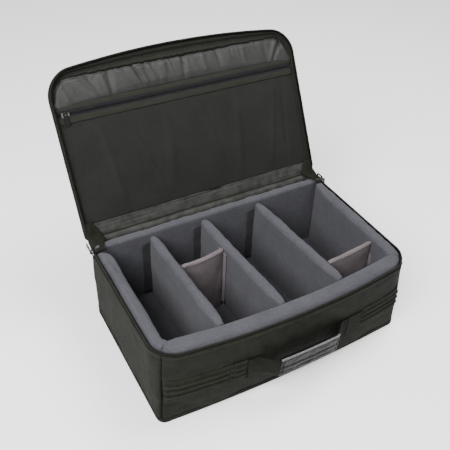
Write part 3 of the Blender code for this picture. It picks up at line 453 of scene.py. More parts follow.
def dress(mesh, material, sharp):
    """Gives a mesh its material and its sharp edges."""
    mesh.materials.append(material)
    mesh.shade_smooth()
    mesh.set_sharp_from_angle(angle=radians(sharp))


def piece(name, rows, material, slot, body, *nodes, fill=None, sharp=60, **shape):
    """A new piece through rows of points, or of a ready mesh, that rides on its body and stands
    for its nodes. Its fill is not used."""
    mesh = grid_mesh(name, rows, **shape) if isinstance(rows, list) else rows
    made = linked(name, mesh)
    dress(mesh, material, sharp)
    if body:
        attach(made, body)
    if nodes:
        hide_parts(*nodes)
    return made


def solid(name, rows, *words, **settings):
    """A closed piece through rings of points."""
    return piece(name, rows, *words, ring=True, capped=True, **settings)


def second_look(made, material, chosen):
    """Gives the chosen faces of a piece another material."""
    made.data.materials.append(material)
    for face in made.data.polygons:
        face.material_index = int(chosen(face))


def ruffle(thing, amount, size, seed=0, keep=lambda co: 1.0):
    """Moves a piece's points along their normals by smooth noise."""
    shift = Vector((seed * 7.1, seed * 3.3, seed * 5.7))
    vertices = thing.data.vertices
    moves = [vert.normal * (amount * keep(vert.co) * noise.noise(vert.co / size + shift))
             for vert in vertices]
    for vert, move in zip(vertices, moves):
        vert.co += move
    thing.data.update()


def thicken(thing, thickness, offset=0.0):
    """Gives a sheet its thickness."""
    made = thing.modifiers.new("thickness", "SOLIDIFY")
    made.thickness = thickness
    made.offset = offset


class Look:
    """A node material under construction."""

    def __init__(self, name):
        self.made = bpy.data.materials.new(name)
        self.made.use_nodes = True
        self.nodes = self.made.node_tree.nodes
        self.links = self.made.node_tree.links
        self.shader = self.nodes["Principled BSDF"]
        self.place = self.add("ShaderNodeTexCoord").outputs["Object"]

    def add(self, kind, **settings):
        node = self.nodes.new(kind)
        for key, value in settings.items():
            setattr(node, key, value)
        return node

    def join(self, source, socket):
        """Joins a socket or a plain value to a socket."""
        if isinstance(source, (int, float, tuple)):
            socket.default_value = source
        else:
            self.links.new(source, socket)

    def texture(self, kind, scale, output, place=None, **settings):
        """A texture's output at a scale."""
        node = self.add(kind, **settings)
        self.join(scale, node.inputs["Scale"])
        self.join(place or self.place, node.inputs["Vector"])
        return node.outputs[output]

    def noise(self, size, detail=2.0, place=None):
        """Noise with features of about size metres."""
        made = self.texture("ShaderNodeTexNoise", 1.0 / size, "Fac", place)
        self.join(detail, made.node.inputs["Detail"])
        return made

    def bands(self, pitch, axis):
        """Waves of a pitch along one axis."""
        return self.texture("ShaderNodeTexWave", 0.314 / pitch, "Fac", wave_type="BANDS",
                            bands_direction=axis)

    def cells(self, size):
        """The distance to the edges of small cells."""
        return self.texture("ShaderNodeTexVoronoi", 1.0 / size, "Distance",
                            feature="DISTANCE_TO_EDGE")

    def math(self, operation, first, second):
        """One sum of two values or sockets."""
        node = self.add("ShaderNodeMath", operation=operation)
        self.join(first, node.inputs[0])
        self.join(second, node.inputs[1])
        return node.outputs["Value"]

    def mix(self, *parts):
        """A weighted sum of (socket, weight) pairs."""
        total = None
        for socket, weight in parts:
            term = self.math("MULTIPLY", socket, weight)
            total = term if total is None else self.math("ADD", total, term)
        return total

    def weave(self, pitch):
        """Crossing threads, whichever way the surface faces."""
        x, y, z = (self.bands(pitch, axis) for axis in "XYZ")
        pairs = [self.math("MULTIPLY", a, b) for a, b in ((x, y), (y, z), (x, z))]
        return self.math("MAXIMUM", self.math("MAXIMUM", pairs[0], pairs[1]), pairs[2])

    def colours(self, factor, colour, shares, places):
        """The base colour by a factor: shares of a colour at places along a ramp."""
        ramp = self.add("ShaderNodeValToRGB")
        elements = ramp.color_ramp.elements
        while len(elements) < len(shares):
            elements.new(0.5)
        for element, share, place in zip(elements, shares, places):
            element.position = place
            element.color = (*(part * share for part in colour), 1.0)
        self.join(factor, ramp.inputs["Fac"])
        self.join(ramp.outputs["Color"], self.shader.inputs["Base Color"])

    def bump(self, height, depth):
        """Bumps of a real depth in metres."""
        node = self.add("ShaderNodeBump")
        self.join(1.0, node.inputs["Strength"])
        self.join(depth, node.inputs["Distance"])
        self.join(height, node.inputs["Height"])
        self.join(node.outputs["Normal"], self.shader.inputs["Normal"])

    def gloss(self, roughness, specular=0.5, sheen=0.0, sheen_roughness=0.5, metallic=0.0):
        """The shader's plain values."""
        for name, value in (("Roughness", roughness), ("Metallic", metallic),
                            ("Specular IOR Level", specular), ("Sheen Weight", sheen),
                            ("Sheen Roughness", sheen_roughness)):
            self.join(value, self.shader.inputs[name])
        return self.made


def woven(name, colour, contrast, streak=(18.0, 18.0, 90.0)):
    """Woven fabric: threads, streaks along the cloth and slow variation."""
    look = Look(name)
    threads = look.weave(0.0011)
    stretch = look.add("ShaderNodeMapping")
    look.join(streak, stretch.inputs["Scale"])
    look.join(look.place, stretch.inputs["Vector"])
    streaks = look.noise(1.0, 3.0, stretch.outputs["Vector"])
    slow = look.noise(0.016, 3.0)
    fine = look.noise(0.0012, 1.0)
    factor = look.mix((threads, 0.12), (streaks, 0.28), (slow, 0.46), (fine, 0.14))
    look.colours(factor, colour, (1.0 - contrast, 1.0, 1.0 + contrast), (0.30, 0.46, 0.64))
    look.bump(look.mix((threads, 0.6), (fine, 0.5)), 0.0004)
    return look.gloss(0.85, 0.12)


def fleece(name, colour):
    """Brushed loop fleece: fuzz, small pills and slow variation."""
    look = Look(name)
    fuzz = look.noise(0.0009, 3.0)
    pills = look.noise(0.0038, 2.0)
    slow = look.noise(0.030, 3.0)
    factor = look.mix((fuzz, 0.35), (pills, 0.35), (slow, 0.30))
    look.colours(factor, colour, (0.78, 1.0, 1.22), (0.34, 0.48, 0.62))
    look.bump(look.mix((fuzz, 0.7), (pills, 0.6)), 0.0005)
    return look.gloss(0.97, 0.1, 0.06, 0.6)


def nylon(name, colour):
    """Thin satin lining."""
    look = Look(name)
    threads = look.weave(0.0007)
    slow = look.noise(0.020, 3.0)
    look.colours(look.mix((threads, 0.3), (slow, 0.7)), colour, (0.82, 1.0, 1.16), (0.30, 0.48, 0.66))
    look.bump(look.mix((threads, 0.4), (look.noise(0.006), 1.0)), 0.0004)
    return look.gloss(0.42, 0.34)


def netting(name, colour):
    """Fine mesh cloth."""
    look = Look(name)
    holes = look.cells(0.0016)
    slow = look.noise(0.06, 2.0)
    factor = look.mix((look.math("LESS_THAN", holes, 0.20), 0.55), (slow, 0.45))
    look.colours(factor, colour, (0.55, 1.0, 1.55), (0.20, 0.50, 0.85))
    look.bump(holes, -0.0004)
    return look.gloss(0.8, 0.12)


def ribbed(name, colour, pitch):
    """Webbing or grosgrain tape with fine ribs across it."""
    look = Look(name)
    ribs = look.bands(pitch, "X")
    cross = look.bands(pitch * 1.7, "Z")
    slow = look.noise(0.02, 3.0)
    fine = look.noise(0.0010, 1.0)
    factor = look.mix((ribs, 0.25), (cross, 0.15), (slow, 0.30), (fine, 0.30))
    look.colours(factor, colour, (0.65, 1.0, 1.4), (0.30, 0.50, 0.70))
    look.bump(look.mix((ribs, 0.7), (cross, 0.4), (fine, 0.3)), 0.0003)
    return look.gloss(0.85, 0.10)


def ridged(name, colour):
    """The ribbed band's fabric, with painted highlights: paler along the crests of its three ridges."""
    look = Look(name)
    split = look.add("ShaderNodeSeparateXYZ")
    look.join(look.place, split.inputs["Vector"])
    height = look.math("SUBTRACT", split.outputs["Z"], BAND_BOTTOM)
    wave = look.math("COSINE", look.math("MULTIPLY", height, tau / RIDGE_PITCH), 0.0)
    threads = look.weave(0.0011)
    slow = look.noise(0.012, 3.0)
    # Painted highlight: the colour is made paler along each ridge's crest.
    crest = look.math("MAXIMUM", look.math("SUBTRACT", wave, 0.35), 0.0)
    factor = look.mix((crest, 0.42), (threads, 0.14), (slow, 0.68))
    look.colours(factor, colour, (0.70, 1.0, 1.90), (0.24, 0.42, 0.62))
    look.bump(look.mix((threads, 0.7), (look.noise(0.0012, 1.0), 0.4)), 0.0004)
    return look.gloss(0.85, 0.10)


def leatherette(name, colour):
    """Glossy grained leatherette."""
    look = Look(name)
    pebbles = look.cells(0.0013)
    slow = look.noise(0.010, 3.0)
    look.colours(look.mix((pebbles, 0.9), (slow, 0.6)), colour, (0.7, 1.0, 1.7), (0.20, 0.45, 0.70))
    look.bump(look.mix((pebbles, 1.0), (slow, 1.2)), 0.0004)
    return look.gloss(0.38, 0.12)


def plastic(name, colour, roughness, specular):
    """Satin nylon, as of a zip's coil or a thread."""
    look = Look(name)
    look.colours(look.noise(0.004, 2.0), colour, (0.75, 1.0, 1.3), (0.30, 0.50, 0.70))
    look.bump(look.noise(0.0006, 1.0), 0.0001)
    return look.gloss(roughness, specular)


def metal(name, colour):
    """Nickel plate, a little scuffed."""
    look = Look(name)
    look.colours(look.noise(0.003, 4.0), colour, (0.7, 1.0, 1.15), (0.30, 0.50, 0.75))
    look.bump(look.noise(0.0012, 3.0), 0.00008)
    return look.gloss(0.28, metallic=1.0)


SHELL = woven("charcoal_shell_fabric", (0.0080, 0.0083, 0.0058), 0.60)
HEM = woven("charcoal_hem_fabric", (0.0110, 0.0113, 0.0080), 0.4)
FLAP = woven("hinge_flap_fabric", (0.0310, 0.0315, 0.0290), 0.65, (6.0, 300.0, 300.0))
FLEECE = fleece("grey_fleece", (0.052, 0.052, 0.060))
TAB_FLEECE = fleece("dark_tab_fleece", (0.020, 0.020, 0.023))
MAUVE = fleece("mauve_fleece", (0.110, 0.092, 0.097))
BAND = ridged("ridged_band_painted_highlights", (0.0092, 0.0095, 0.0068))
WEBBING = ribbed("handle_webbing", (0.0064, 0.0067, 0.0048), 0.0016)
# A darker copy of the webbing for the right strap: painted shade, for the side that faces away from the key
# light.
PAINTED_SHADE_WEBBING = ribbed("painted_shade_webbing", (0.0036, 0.0036, 0.0030), 0.0016)
TAPE = ribbed("zip_tape_cloth", (0.0064, 0.0064, 0.0050), 0.0012)
BINDING = ribbed("lid_binding_tape", (0.0185, 0.0188, 0.0155), 0.0013)
POCKET_TAPE = ribbed("pocket_tape_cloth", (0.0178, 0.0181, 0.0148), 0.0014)
ZIP_CLOTH = ribbed("pocket_zip_cloth", (0.0115, 0.0116, 0.0132), 0.0012)
COIL = plastic("pocket_coil_nylon", (0.0100, 0.0103, 0.0130), 0.50, 0.25)
RIM_COIL = plastic("main_coil_nylon", (0.011, 0.0112, 0.0088), 0.50, 0.25)
THREAD = plastic("dark_thread", (0.024, 0.024, 0.020), 0.7, 0.2)
LEATHER = leatherette("grip_leather", (0.0050, 0.0050, 0.0047))
PIPING = plastic("grip_piping", (0.045, 0.045, 0.046), 0.16, 0.9)
LINING = nylon("lid_lining_satin", (0.0205, 0.0205, 0.0196))
NET = netting("pocket_net", (0.0100, 0.0101, 0.0090))
METAL = metal("nickel", (0.34, 0.34, 0.34))
PULL = plastic("black_pull", (0.006, 0.006, 0.006), 0.35, 0.25)
FOAM = fleece("foam_grey", (0.25, 0.25, 0.25))


def shell_section(s, total):
    """An outer wall: fabric face with a hem under its top edge, and a plain inner face."""
    draw = SEAM_DEPTH * two_bumps(s, 0.0, total, SEAM_WIDTH)
    points = []
    for z in spread(PANEL_FOOT, RIM_HEIGHT - HEM_ROLL, 0.0044):
        hem = HEM_BULGE * clamp((z - HEM_GROOVE) / 0.002)
        groove = 0.0009 * bump_at(z, HEM_GROOVE, 0.0013)
        foot = 0.0010 * bump_at(z, PANEL_FOOT, 0.0016)
        points.append((draw + groove + foot - hem, z))
    points += quarter(draw - HEM_BULGE + HEM_ROLL, RIM_HEIGHT - HEM_ROLL, HEM_ROLL, 180, 3)
    points += quarter(PANEL - HEM_ROLL, RIM_HEIGHT - HEM_ROLL, HEM_ROLL, 90, 3)
    return points + [(PANEL, RIM_HEIGHT / 2), (PANEL, PANEL_FOOT)]


def make_shell():
    """The four fabric walls and the bottom."""
    side = joined(arc(BACK_RADIUS - HALF_WIDTH, HALF_DEPTH - BACK_RADIUS, BACK_RADIUS, 135, 180, FINE),
                  left_side(FRONT_RADIUS, -HALF_DEPTH, HALF_DEPTH - BACK_RADIUS))
    walls = {
        "base_left_panel": side,
        "base_right_panel": mirrored(side),
        "base_front_panel": front_side(FRONT_RADIUS, -HALF_DEPTH),
        "base_back_panel": back_side(BACK_RADIUS, HALF_DEPTH, 45, 135, FINE),
    }
    for seed, (node, stations) in enumerate(walls.items()):
        rows = ring_rows(densify_ends(stations), shell_section, belly)
        made = solid(node + "_cloth", rows, SHELL, "shell_fabric", "base", node, fill=0.9)
        second_look(made, HEM, lambda face: face.center.z > HEM_GROOVE + 0.001)
        ruffle(made, 0.0022, 0.060, seed)
        ruffle(made, 0.0008, 0.019, seed + 9)
    path = closed_path(FRONT_RADIUS, BACK_RADIUS, -HALF_DEPTH, HALF_DEPTH)
    profile = [(0.0010, PANEL_FOOT - GAP), (0.0002, PANEL_FOOT - 0.0016)]
    profile += reversed(quarter(BOTTOM_EDGE, BOTTOM_EDGE, BOTTOM_EDGE, 270))
    solid("base_bottom_cloth", path_rings(path, profile, belly), SHELL, "shell_fabric", "base",
          "base_bottom", fill=1.0)


def pad_section(outer, inner, pucker, top, shoulder):
    """A padded wall: a full rolled top, puckers on its outer shoulder and a soft inner face."""
    width = inner - outer
    outer_round = min(shoulder, width * 0.76)
    inner_round = min(INNER_SHOULDER, width - outer_round - 0.0003)
    points = [(outer, z) for z in (PAD_FOOT, RIM_HEIGHT * 0.5, RIM_HEIGHT - 0.008)]
    tall = outer_round * 0.85
    for i, (inset, z) in enumerate(quarter(outer + outer_round, top - tall, outer_round, 180, 9, tall)):
        weight = sin(pi * min(i + 1, 9) / 10)
        points.append((inset + pucker * weight, z - pucker * weight * 0.6))
    gap = width - outer_round - inner_round
    points.append((outer + outer_round + gap / 2, top + 0.0002))
    points += quarter(inner - inner_round, top - inner_round, inner_round, 90, 7)
    return points + [(inner, z) for z in even(top - inner_round - 0.005, PAD_FOOT, 26)]


def pad_wall(side, stations, inner_at, seed, mitres=(0.0, 0.0), slants=(0.0, 0.0), most=0.0030,
             shoulder=SHOULDER, calm=1.0, bend=belly, outer_at=lambda s, total: PAD_INSET):
    """A padded wall along stations. mitres gathers an end into a sewn corner, and slants draws
    the inner side of a free end back."""
    stations = densify_ends(stations)
    along = distances(stations)
    total = along[-1]
    rows = []
    for (x, y, in_x, in_y), s in zip(stations, along):
        draw = 0.0024 * two_bumps(s, 0.0, total, 0.004)
        gather = mitres[0] * bump_at(s, 0.0, 0.018) + mitres[1] * bump_at(s, total, 0.018)
        pucker = 0.0013 * waves(s, 0.009, seed) + 0.0008 * waves(s, 0.026, seed + 5)
        pucker += 0.0012 * gather * sin(tau * s / 0.0075)
        crown = 0.0009 * waves(s, 0.055, seed + 8) + 0.0007 * gather * sin(tau * s / 0.0095)
        start = outer_at(s, total)
        stop = inner_at(s, total)
        slant = slants[0] * max(0.0, 1.0 - s / END_REACH)
        slant += slants[1] * max(0.0, 1.0 - (total - s) / END_REACH)
        row = []
        for inset, z in pad_section(start + draw * 0.4, stop - draw * 0.6, pucker,
                                    PAD_TOP - 0.0004 + crown - draw, shoulder):
            back = slant * clamp((inset - start) / (stop - start))
            row.append(bend(x + in_x * inset, y + in_y * inset - back, z))
        rows.append(row)
    made = solid(side + "_pad", rows, FLEECE, "padding_fleece", "base", "liner_" + side, fill=0.85, sharp=75)
    above = lambda co: clamp((co.z - 0.030) / 0.030)
    ruffle(made, 0.0016 * calm, 0.055, seed, above)
    ruffle(made, 0.0006 * calm, 0.014, seed + 3, above)
    hold(made, len(rows[0]), 5, 4, most)


def hold(thing, count, first, last, most):
    """Notes a padded piece that swells later. It stays held at both of its ends and at the first
    and last points of each of its rows of count points. most is how far a point may move."""
    total = len(thing.data.vertices)
    pins = [i for i in range(total) if i < count or i >= total - count
            or i % count < first or i % count > count - last]
    SOFT.append((thing, pins, most))


def swell():
    """Swells the noted pieces by cloth under pressure, caps how far a point moves and keeps the
    result."""
    for thing, pins, most in SOFT:
        thing.vertex_groups.new(name="held").add(pins, 1.0, "REPLACE")
        cloth = thing.modifiers.new("cloth", "CLOTH")
        cloth.settings.use_pressure = True
        cloth.settings.uniform_pressure_force = SWELL_PRESSURE
        cloth.settings.vertex_group_mass = "held"
        cloth.settings.effector_weights.gravity = 0.0
        cloth.settings.quality = 4
    for step in range(1, SWELL_STEPS + 1):
        bpy.context.scene.frame_set(step)
    graph = bpy.context.evaluated_depsgraph_get()
    for thing, pins, most in SOFT:
        swollen = thing.evaluated_get(graph).to_mesh()
        places = [vert.co.copy() for vert in swollen.vertices]
        thing.modifiers.remove(thing.modifiers["cloth"])
        for vert, place in zip(thing.data.vertices, places):
            move = place - vert.co
            if move.length > most:
                move *= most / move.length
            vert.co += move
        thing.data.update()
    bpy.context.scene.frame_set(1)


def make_pads():
    """The fleece pads inside the walls, and the floor."""
    corner = (SIDE_PAD + FRONT_PAD) / 2
    side = left_side(FRONT_RADIUS, -HALF_DEPTH, BACK_FACE)
    side_total = distances(side)[-1]
    bend_length = FRONT_RADIUS * pi / 4

    def side_inner(s, total):
        share = max(0.0, (s - total + bend_length) / bend_length)
        return PAD_INSET + SIDE_PAD + (corner - SIDE_PAD) * share

    def front_inner(s, total):
        share = max(0.0, 1.0 - min(s, total - s) / bend_length)
        return PAD_INSET + FRONT_PAD + (corner - FRONT_PAD) * share

    pad_wall("left", side, lambda s, total: side_inner(s, total) + 0.003 * bump_at(s, 0.0, 0.07), 1,
             (0.0, 1.0), (0.028, 0.0))
    pad_wall("right", mirrored(side), lambda s, total: side_inner(side_total - s, total), 2,
             (1.0, 0.0), (0.0, 0.012), shoulder=0.018)
    pad_wall("front", front_side(FRONT_RADIUS, -HALF_DEPTH), front_inner, 3, (1.0, 1.0), most=0.0005,
             calm=0.4)
    wide = HALF_WIDTH - PAD_INSET
    pad_wall("back", line((wide, HALF_DEPTH), (-wide, HALF_DEPTH), (0.0, -1.0)),
             lambda s, total: PAD_INSET + BACK_PAD, 4, most=0.0005, calm=0.4, bend=straight,
             outer_at=lambda s, total: max(PAD_INSET, BACK_RADIUS - min(s, total - s)))

    def level(x, y):
        return FLOOR_TOP - 0.0006 + 0.0006 * grain(x, y, 0.0, 0.05)

    depth = HALF_DEPTH - PANEL - GAP
    top = plate_rows(HALF_WIDTH - PANEL - GAP, FRONT_RADIUS - PANEL, depth, depth - BACK_RADIUS, level,
                     belly, 0.006)
    floor = piece("floor_pad", top, FLEECE, "padding_fleece", "base", "liner_floor", fill=0.9)
    thicken(floor, FLOOR_TOP - PANEL_FOOT - 0.0012, -1.0)


def divider_middle(index, y):
    """The middle of a long divider, which stands a little askew."""
    return DIVIDER_PLACES[index] - DIVIDER_SLOPES[index] * y


def divider_section(half, top, radius):
    """A divider's section: faces that pull in at the foot and a rolled top."""
    middle = PAD_FOOT + (top - PAD_FOOT) / 2

    def face(side, start, stop):
        return [(side * (half - 0.0012 * ((z - middle) / middle) ** 2), z) for z in even(start, stop, 18)]

    return [*face(1, PAD_FOOT, top - radius),
            *reversed(quarter(half - radius, top - radius, radius, 90, 6)),
            *reversed(quarter(radius - half, top - radius, radius, 180, 6)),
            *face(-1, top - radius, PAD_FOOT)]


def divider_pad(node, rows, material, slot, fill, most, *ruffles):
    """A divider's padded body, which swells."""
    made = solid(node + "_pad", rows, material, slot, node, node, fill=fill, sharp=75)
    for words in ruffles:
        ruffle(made, *words)
    hold(made, len(rows[0]), 2, 3, most)


def sheet_tab(node, rows, body, material, slot):
    """A tab of hook or loop tape that lies against its neighbour."""
    made = piece(node + "_cloth", rows, material, slot, body, node)
    thicken(made, TAB * 0.8)


def make_long_divider(index):
    """A long padded divider with its two tabs."""
    node = "divider_" + str(index + 1)
    half = DIVIDER / 2
    back_tab = BACK_FACE - 0.0004 - TAB
    front_tab = FRONT_FACE + DIVIDER_FRONT_ROOM + TAB
    places = spread(back_tab - GAP, front_tab + GAP, PITCH)
    rows = []
    for y in places:
        ends = two_bumps(y, places[0], places[-1], 0.006)
        middle = divider_middle(index, y)
        rows.append([belly(middle + across, y, z) for across, z in
                     divider_section(half - 0.0028 * ends, DIVIDER_TOP - 0.002 * ends, 0.0066)])
    divider_pad(node, rows, FLEECE, "padding_fleece", 0.8, 0.0012,
                (0.0014, 0.060, index + 20), (0.0006, 0.015, index + 30))
    for suffix, y, side in (("_tab_back", back_tab + TAB / 2 - TAB_SHIFT, -1),
                            ("_tab_front", front_tab - TAB / 2 + TAB_SHIFT, 1)):
        middle = divider_middle(index, y)
        top = high(node + suffix).z
        rows = []
        for z in spread(low(node + suffix).z, top, 0.002):
            reach = half + TAB_OVERHANG - drawn_back(z, top, TAB_ROUND)
            wave = 0.0005 * sin(z / 0.006 + index)
            rows.append([belly(middle + across, y + wave, z) for across in
                         (even(-reach, half, 14) if side < 0 else even(-half, reach, 14))])
        sheet_tab(node + suffix, rows, node, TAB_FLEECE, "hook_tape")


def make_cross_divider(node, place, skew, bow, left_face, right_face):
    """A short divider between two faces, with a curled tab along each."""
    room = 2 * GAP + TAB
    steps = 26
    rows = []
    for i in range(steps + 1):
        share = 2 * i / steps - 1
        ends = two_bumps(share, -1.0, 1.0, 0.10)
        row = []
        for across, z in divider_section(CROSS / 2 - 0.0012 * ends, CROSS_TOP - 0.001 * ends, 0.0040):
            y = place + skew / 2 * share - bow * (1.0 - share * share) + across
            start = left_face(y) + room
            row.append(Vector((start + (right_face(y) - room - start) * i / steps, y, z)))
        rows.append(row)
    divider_pad(node, rows, MAUVE, "cross_padding_fleece", 0.6, 0.0016, (0.0016, 0.030, len(node)))
    for suffix, face, inward in (("_tab_left", left_face, 1), ("_tab_right", right_face, -1)):
        box_low, box_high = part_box(node + suffix)
        away = inward * (GAP + TAB / 2 + CROSS_TAB_SHIFT)
        rows = [[Vector((face(y) + away, y, z)) for y in spread(box_low.y, box_high.y, 0.002)]
                for z in spread(box_low.z, box_high.z, 0.004)]
        sheet_tab(node + suffix, rows, node, MAUVE, "cross_padding_fleece")


def make_dividers():
    """All the dividers."""
    for index in range(3):
        make_long_divider(index)
    half = DIVIDER / 2
    make_cross_divider("cross_divider_back", 0.032, 0.009, 0.006,
                       lambda y: divider_middle(0, y) + half, lambda y: divider_middle(1, y) - half)
    make_cross_divider("cross_divider_front", -0.076, 0.011, 0.001,
                       lambda y: divider_middle(2, y) + half, lambda y: SIDE_FACE)


def coil_rows(centres, sides, lift):
    """Rows of a flattened coil along centres, each with its direction to the side."""
    rows = []
    for i, (centre, side) in enumerate(zip(centres, sides)):
        angle = tau * i / TURN_STEPS
        radial = side * cos(angle) + lift * sin(angle)
        middle = centre + side * (COIL_HALF_WIDTH * cos(angle)) + lift * (COIL_HALF_HEIGHT * sin(angle))
        forward = side.cross(lift)
        rows.append([middle + (radial * cos(turn) + forward * sin(turn)) * WIRE
                     for turn in turns(WIRE_SIDES)])
    return rows


def path_coil(stations, level, bend, lift):
    """Rows of a coil that follows stations round the bag."""
    along = distances(stations)
    centres = []
    sides = []
    pitch = COIL_PITCH / TURN_STEPS
    index = 0
    for i in range(int(along[-1] / pitch) + 1):
        s = i * pitch
        while index < len(along) - 2 and along[index + 1] < s:
            index += 1
        share = (s - along[index]) / (along[index + 1] - along[index])
        station = [a + (b - a) * share for a, b in zip(stations[index], stations[index + 1])]
        centres.append(at(station, ZIP_INSET, level, bend))
        sides.append((at(station, ZIP_INSET + GAP, level, bend) - centres[-1]).normalized())
    return coil_rows(centres, sides, lift)


def make_zip(name, body, path, level, edges, bend, lift, seed):
    """Half of the main zip: its coil and its tape."""
    solid(name + "_coil", path_coil(path, level, bend, lift), RIM_COIL, "zip_coil", body, name + "_zip_coil")

    def section(s, total):
        return [(ZIP_INSET + 0.0003 * waves(s, 0.02, seed), z) for z in spread(*edges, 0.0014)]

    tape = piece(name + "_tape", ring_rows(path, section, bend), TAPE, "zip_tape", body, name + "_zip_tape")
    thicken(tape, 0.0008)


def make_zips():
    """Both halves of the main zip."""
    make_zip("rim", "base", rim_path(FRONT_RADIUS, -HALF_DEPTH, HALF_DEPTH - BACK_RADIUS),
             RIM_HEIGHT + COIL_MIDDLE, (RIM_HEIGHT - 0.0065, RIM_HEIGHT + COIL_MIDDLE), belly, UP, 2)
    make_zip("lid", "lid", rim_path(LID_RADIUS, -LID_LENGTH, -BACK_RADIUS), LID_COIL_LEVEL,
             (LID_COIL_LEVEL, LID_WALL_LEVEL + 0.0065), lid_belly, lid_direction(0.0, 1.0), 6)


def make_lid_shell():
    """The lid's wall and cover, with piping where they meet, and its foam board."""
    path = closed_path(LID_RADIUS, 0.006, -LID_LENGTH, -LID_SETBACK)
    roll = 0.0015
    profile = [(LID_WALL, LINING_LEVEL + 0.003), (LID_WALL, LID_WALL_LEVEL + 0.002),
               *quarter(LID_WALL - roll, LID_WALL_LEVEL + roll, roll, 0, 3),
               *quarter(roll, LID_WALL_LEVEL + roll, roll, 270, 3),
               (0.0007, LID_WALL_LEVEL + 0.0045), (0.0, LID_WALL_LEVEL + 0.0065),
               *quarter(0.006, LID_DEPTH - 0.006, 0.006, 180, 6), (0.009, LID_DEPTH)]
    wall = piece("lid_wall_cloth", path_rings(path, profile, lid_belly), SHELL, "shell_fabric", "lid",
                 ring=True)
    ruffle(wall, 0.0006, 0.030, 41)
    thicken(wall, 0.0012, -1.0)
    half = HALF_WIDTH - COVER_INSET
    front = LID_LENGTH - COVER_INSET

    def level(x, y):
        edge = min((half - abs(x)) / 0.09, (front + y) / 0.09, (-y - LID_SETBACK) / 0.09, 1.0)
        share = max(edge, 0.0)
        return LID_DEPTH - 0.0006 + 0.0035 * share * (2.0 - share) + 0.0008 * grain(x, y, 3.0, 0.07)

    rows = plate_rows(half, LID_RADIUS - COVER_INSET, front, -LID_SETBACK - COVER_INSET, level,
                      lid_belly, 0.005)
    cover = piece("lid_cover_cloth", rows, SHELL, "shell_fabric", "lid", "lid_cover", fill=0.9)
    thicken(cover, 0.0012)

    def piping(s, total):
        size = 0.0017 * (1.0 + 0.12 * waves(s, 0.012, 44))
        return [(0.0021 + size * cos(turn), LID_DEPTH - 0.0020 + size * sin(turn)) for turn in turns(10)]

    piece("lid_piping", ring_rows(path + path[:1], piping, lid_belly), HEM, "shell_fabric", "lid", ring=True)
    rows = plate_rows(half, LID_RADIUS - COVER_INSET, front, -0.006, lambda x, y: 0.0165, lid_belly, 0.012)
    foam = piece("lid_foam", rows, FOAM, "foam_board", "lid", "lid_foam_board", fill=1.0)
    thicken(foam, 0.0024)


# Folds of the lining, each with its place, half width, slope, length and size
FOLDS = (
    (-0.234, 0.0060, 0.40, 0.050, 1.2), (-0.211, 0.0085, 1.00, 0.045, 1.4),
    (-0.176, 0.0060, 0.45, 0.040, -1.1), (-0.152, 0.0040, 0.25, 0.030, 0.9),
    (-0.136, 0.0055, 0.00, 0.045, -1.3), (-0.120, 0.0030, 0.77, 0.026, 1.3),
    (-0.089, 0.0030, 0.42, 0.040, -1.3), (-0.080, 0.0040, 0.34, 0.050, 1.7),
    (-0.075, 0.0022, 0.88, 0.014, 1.0), (-0.061, 0.0036, 0.32, 0.045, 1.3),
    (-0.032, 0.0060, -0.04, 0.045, 1.0), (0.000, 0.0040, 0.60, 0.020, 1.0),
    (0.012, 0.0050, -0.09, 0.045, -1.1), (0.051, 0.0050, 0.11, 0.035, 0.9),
    (0.083, 0.0045, 0.10, 0.035, -0.8), (0.138, 0.0050, 0.07, 0.030, 0.8),
    (0.188, 0.0045, 0.00, 0.025, -0.8), (0.218, 0.0042, -0.50, 0.035, 1.3),
    (0.229, 0.0034, -0.60, 0.030, -1.2),
)
# The lining's small gathers, drawn at random with the same five values
GATHER_RANGES = ((-0.235, 0.235), (0.0013, 0.0024), (-0.3, 0.3), (0.005, 0.014), (-0.7, 0.7))
FOLDS += tuple(tuple(RANDOM.uniform(*ends) for ends in GATHER_RANGES) for _ in range(56))
# Creases of the net, each with its place, slope, width and size
NET_FOLDS = ((-0.175, 0.10, 0.007, 0.0016), (-0.118, 0.32, 0.005, -0.0013), (-0.040, -0.12, 0.009, 0.0014),
             (0.035, 0.20, 0.006, -0.0012), (0.110, -0.15, 0.008, 0.0016), (0.196, -0.22, 0.005, 0.0014),
             (0.214, -0.10, 0.004, -0.0012))


def seam_inset(x, in_y):
    """How far in the lining's seam lies: the seam runs straight across below the bowed top."""
    return BINDING_SIDE + LID_BOW * (1.0 - (x / HALF_WIDTH) ** 2) * in_y


def lining_level(x, y):
    """How far the lining stands from the zip's plane. Folds run down from its top seam."""
    corner = drawn_back(x, HALF_WIDTH - BINDING_SIDE, LID_RADIUS - BINDING_SIDE)
    down = LID_LENGTH - seam_inset(x, 1.0) - corner + y
    fold = 0.0
    for place, width, slope, length, size in FOLDS:
        off = (x - place - slope * down) / width
        if abs(off) < 3.0:
            fold += size * exp(-off * off) * exp(-max(down, 0.0) / length)
    swollen = 0.0016 * sin(pi * clamp((down - 0.001) / 0.045))
    rise = clamp((down + 0.001) / 0.008)
    seam = clamp(down / 0.006, 0.20)
    slack = 0.0012 * grain(x / 0.03, y / 0.05, 1.0)
    upper = clamp((-y - POCKET_CHAIN) / 0.012)
    base = LINING_LEVEL - (0.0004 + 0.0030 * rise * rise * (3.0 - 2.0 * rise)) * upper
    level = base - (swollen + FOLD_DEPTH * seam * fold + slack) * upper
    nearest = LINING_SEAM + (LINING_NEAREST - LINING_SEAM) * rise
    return clamp(level, nearest, LINING_LEVEL + 0.0001)


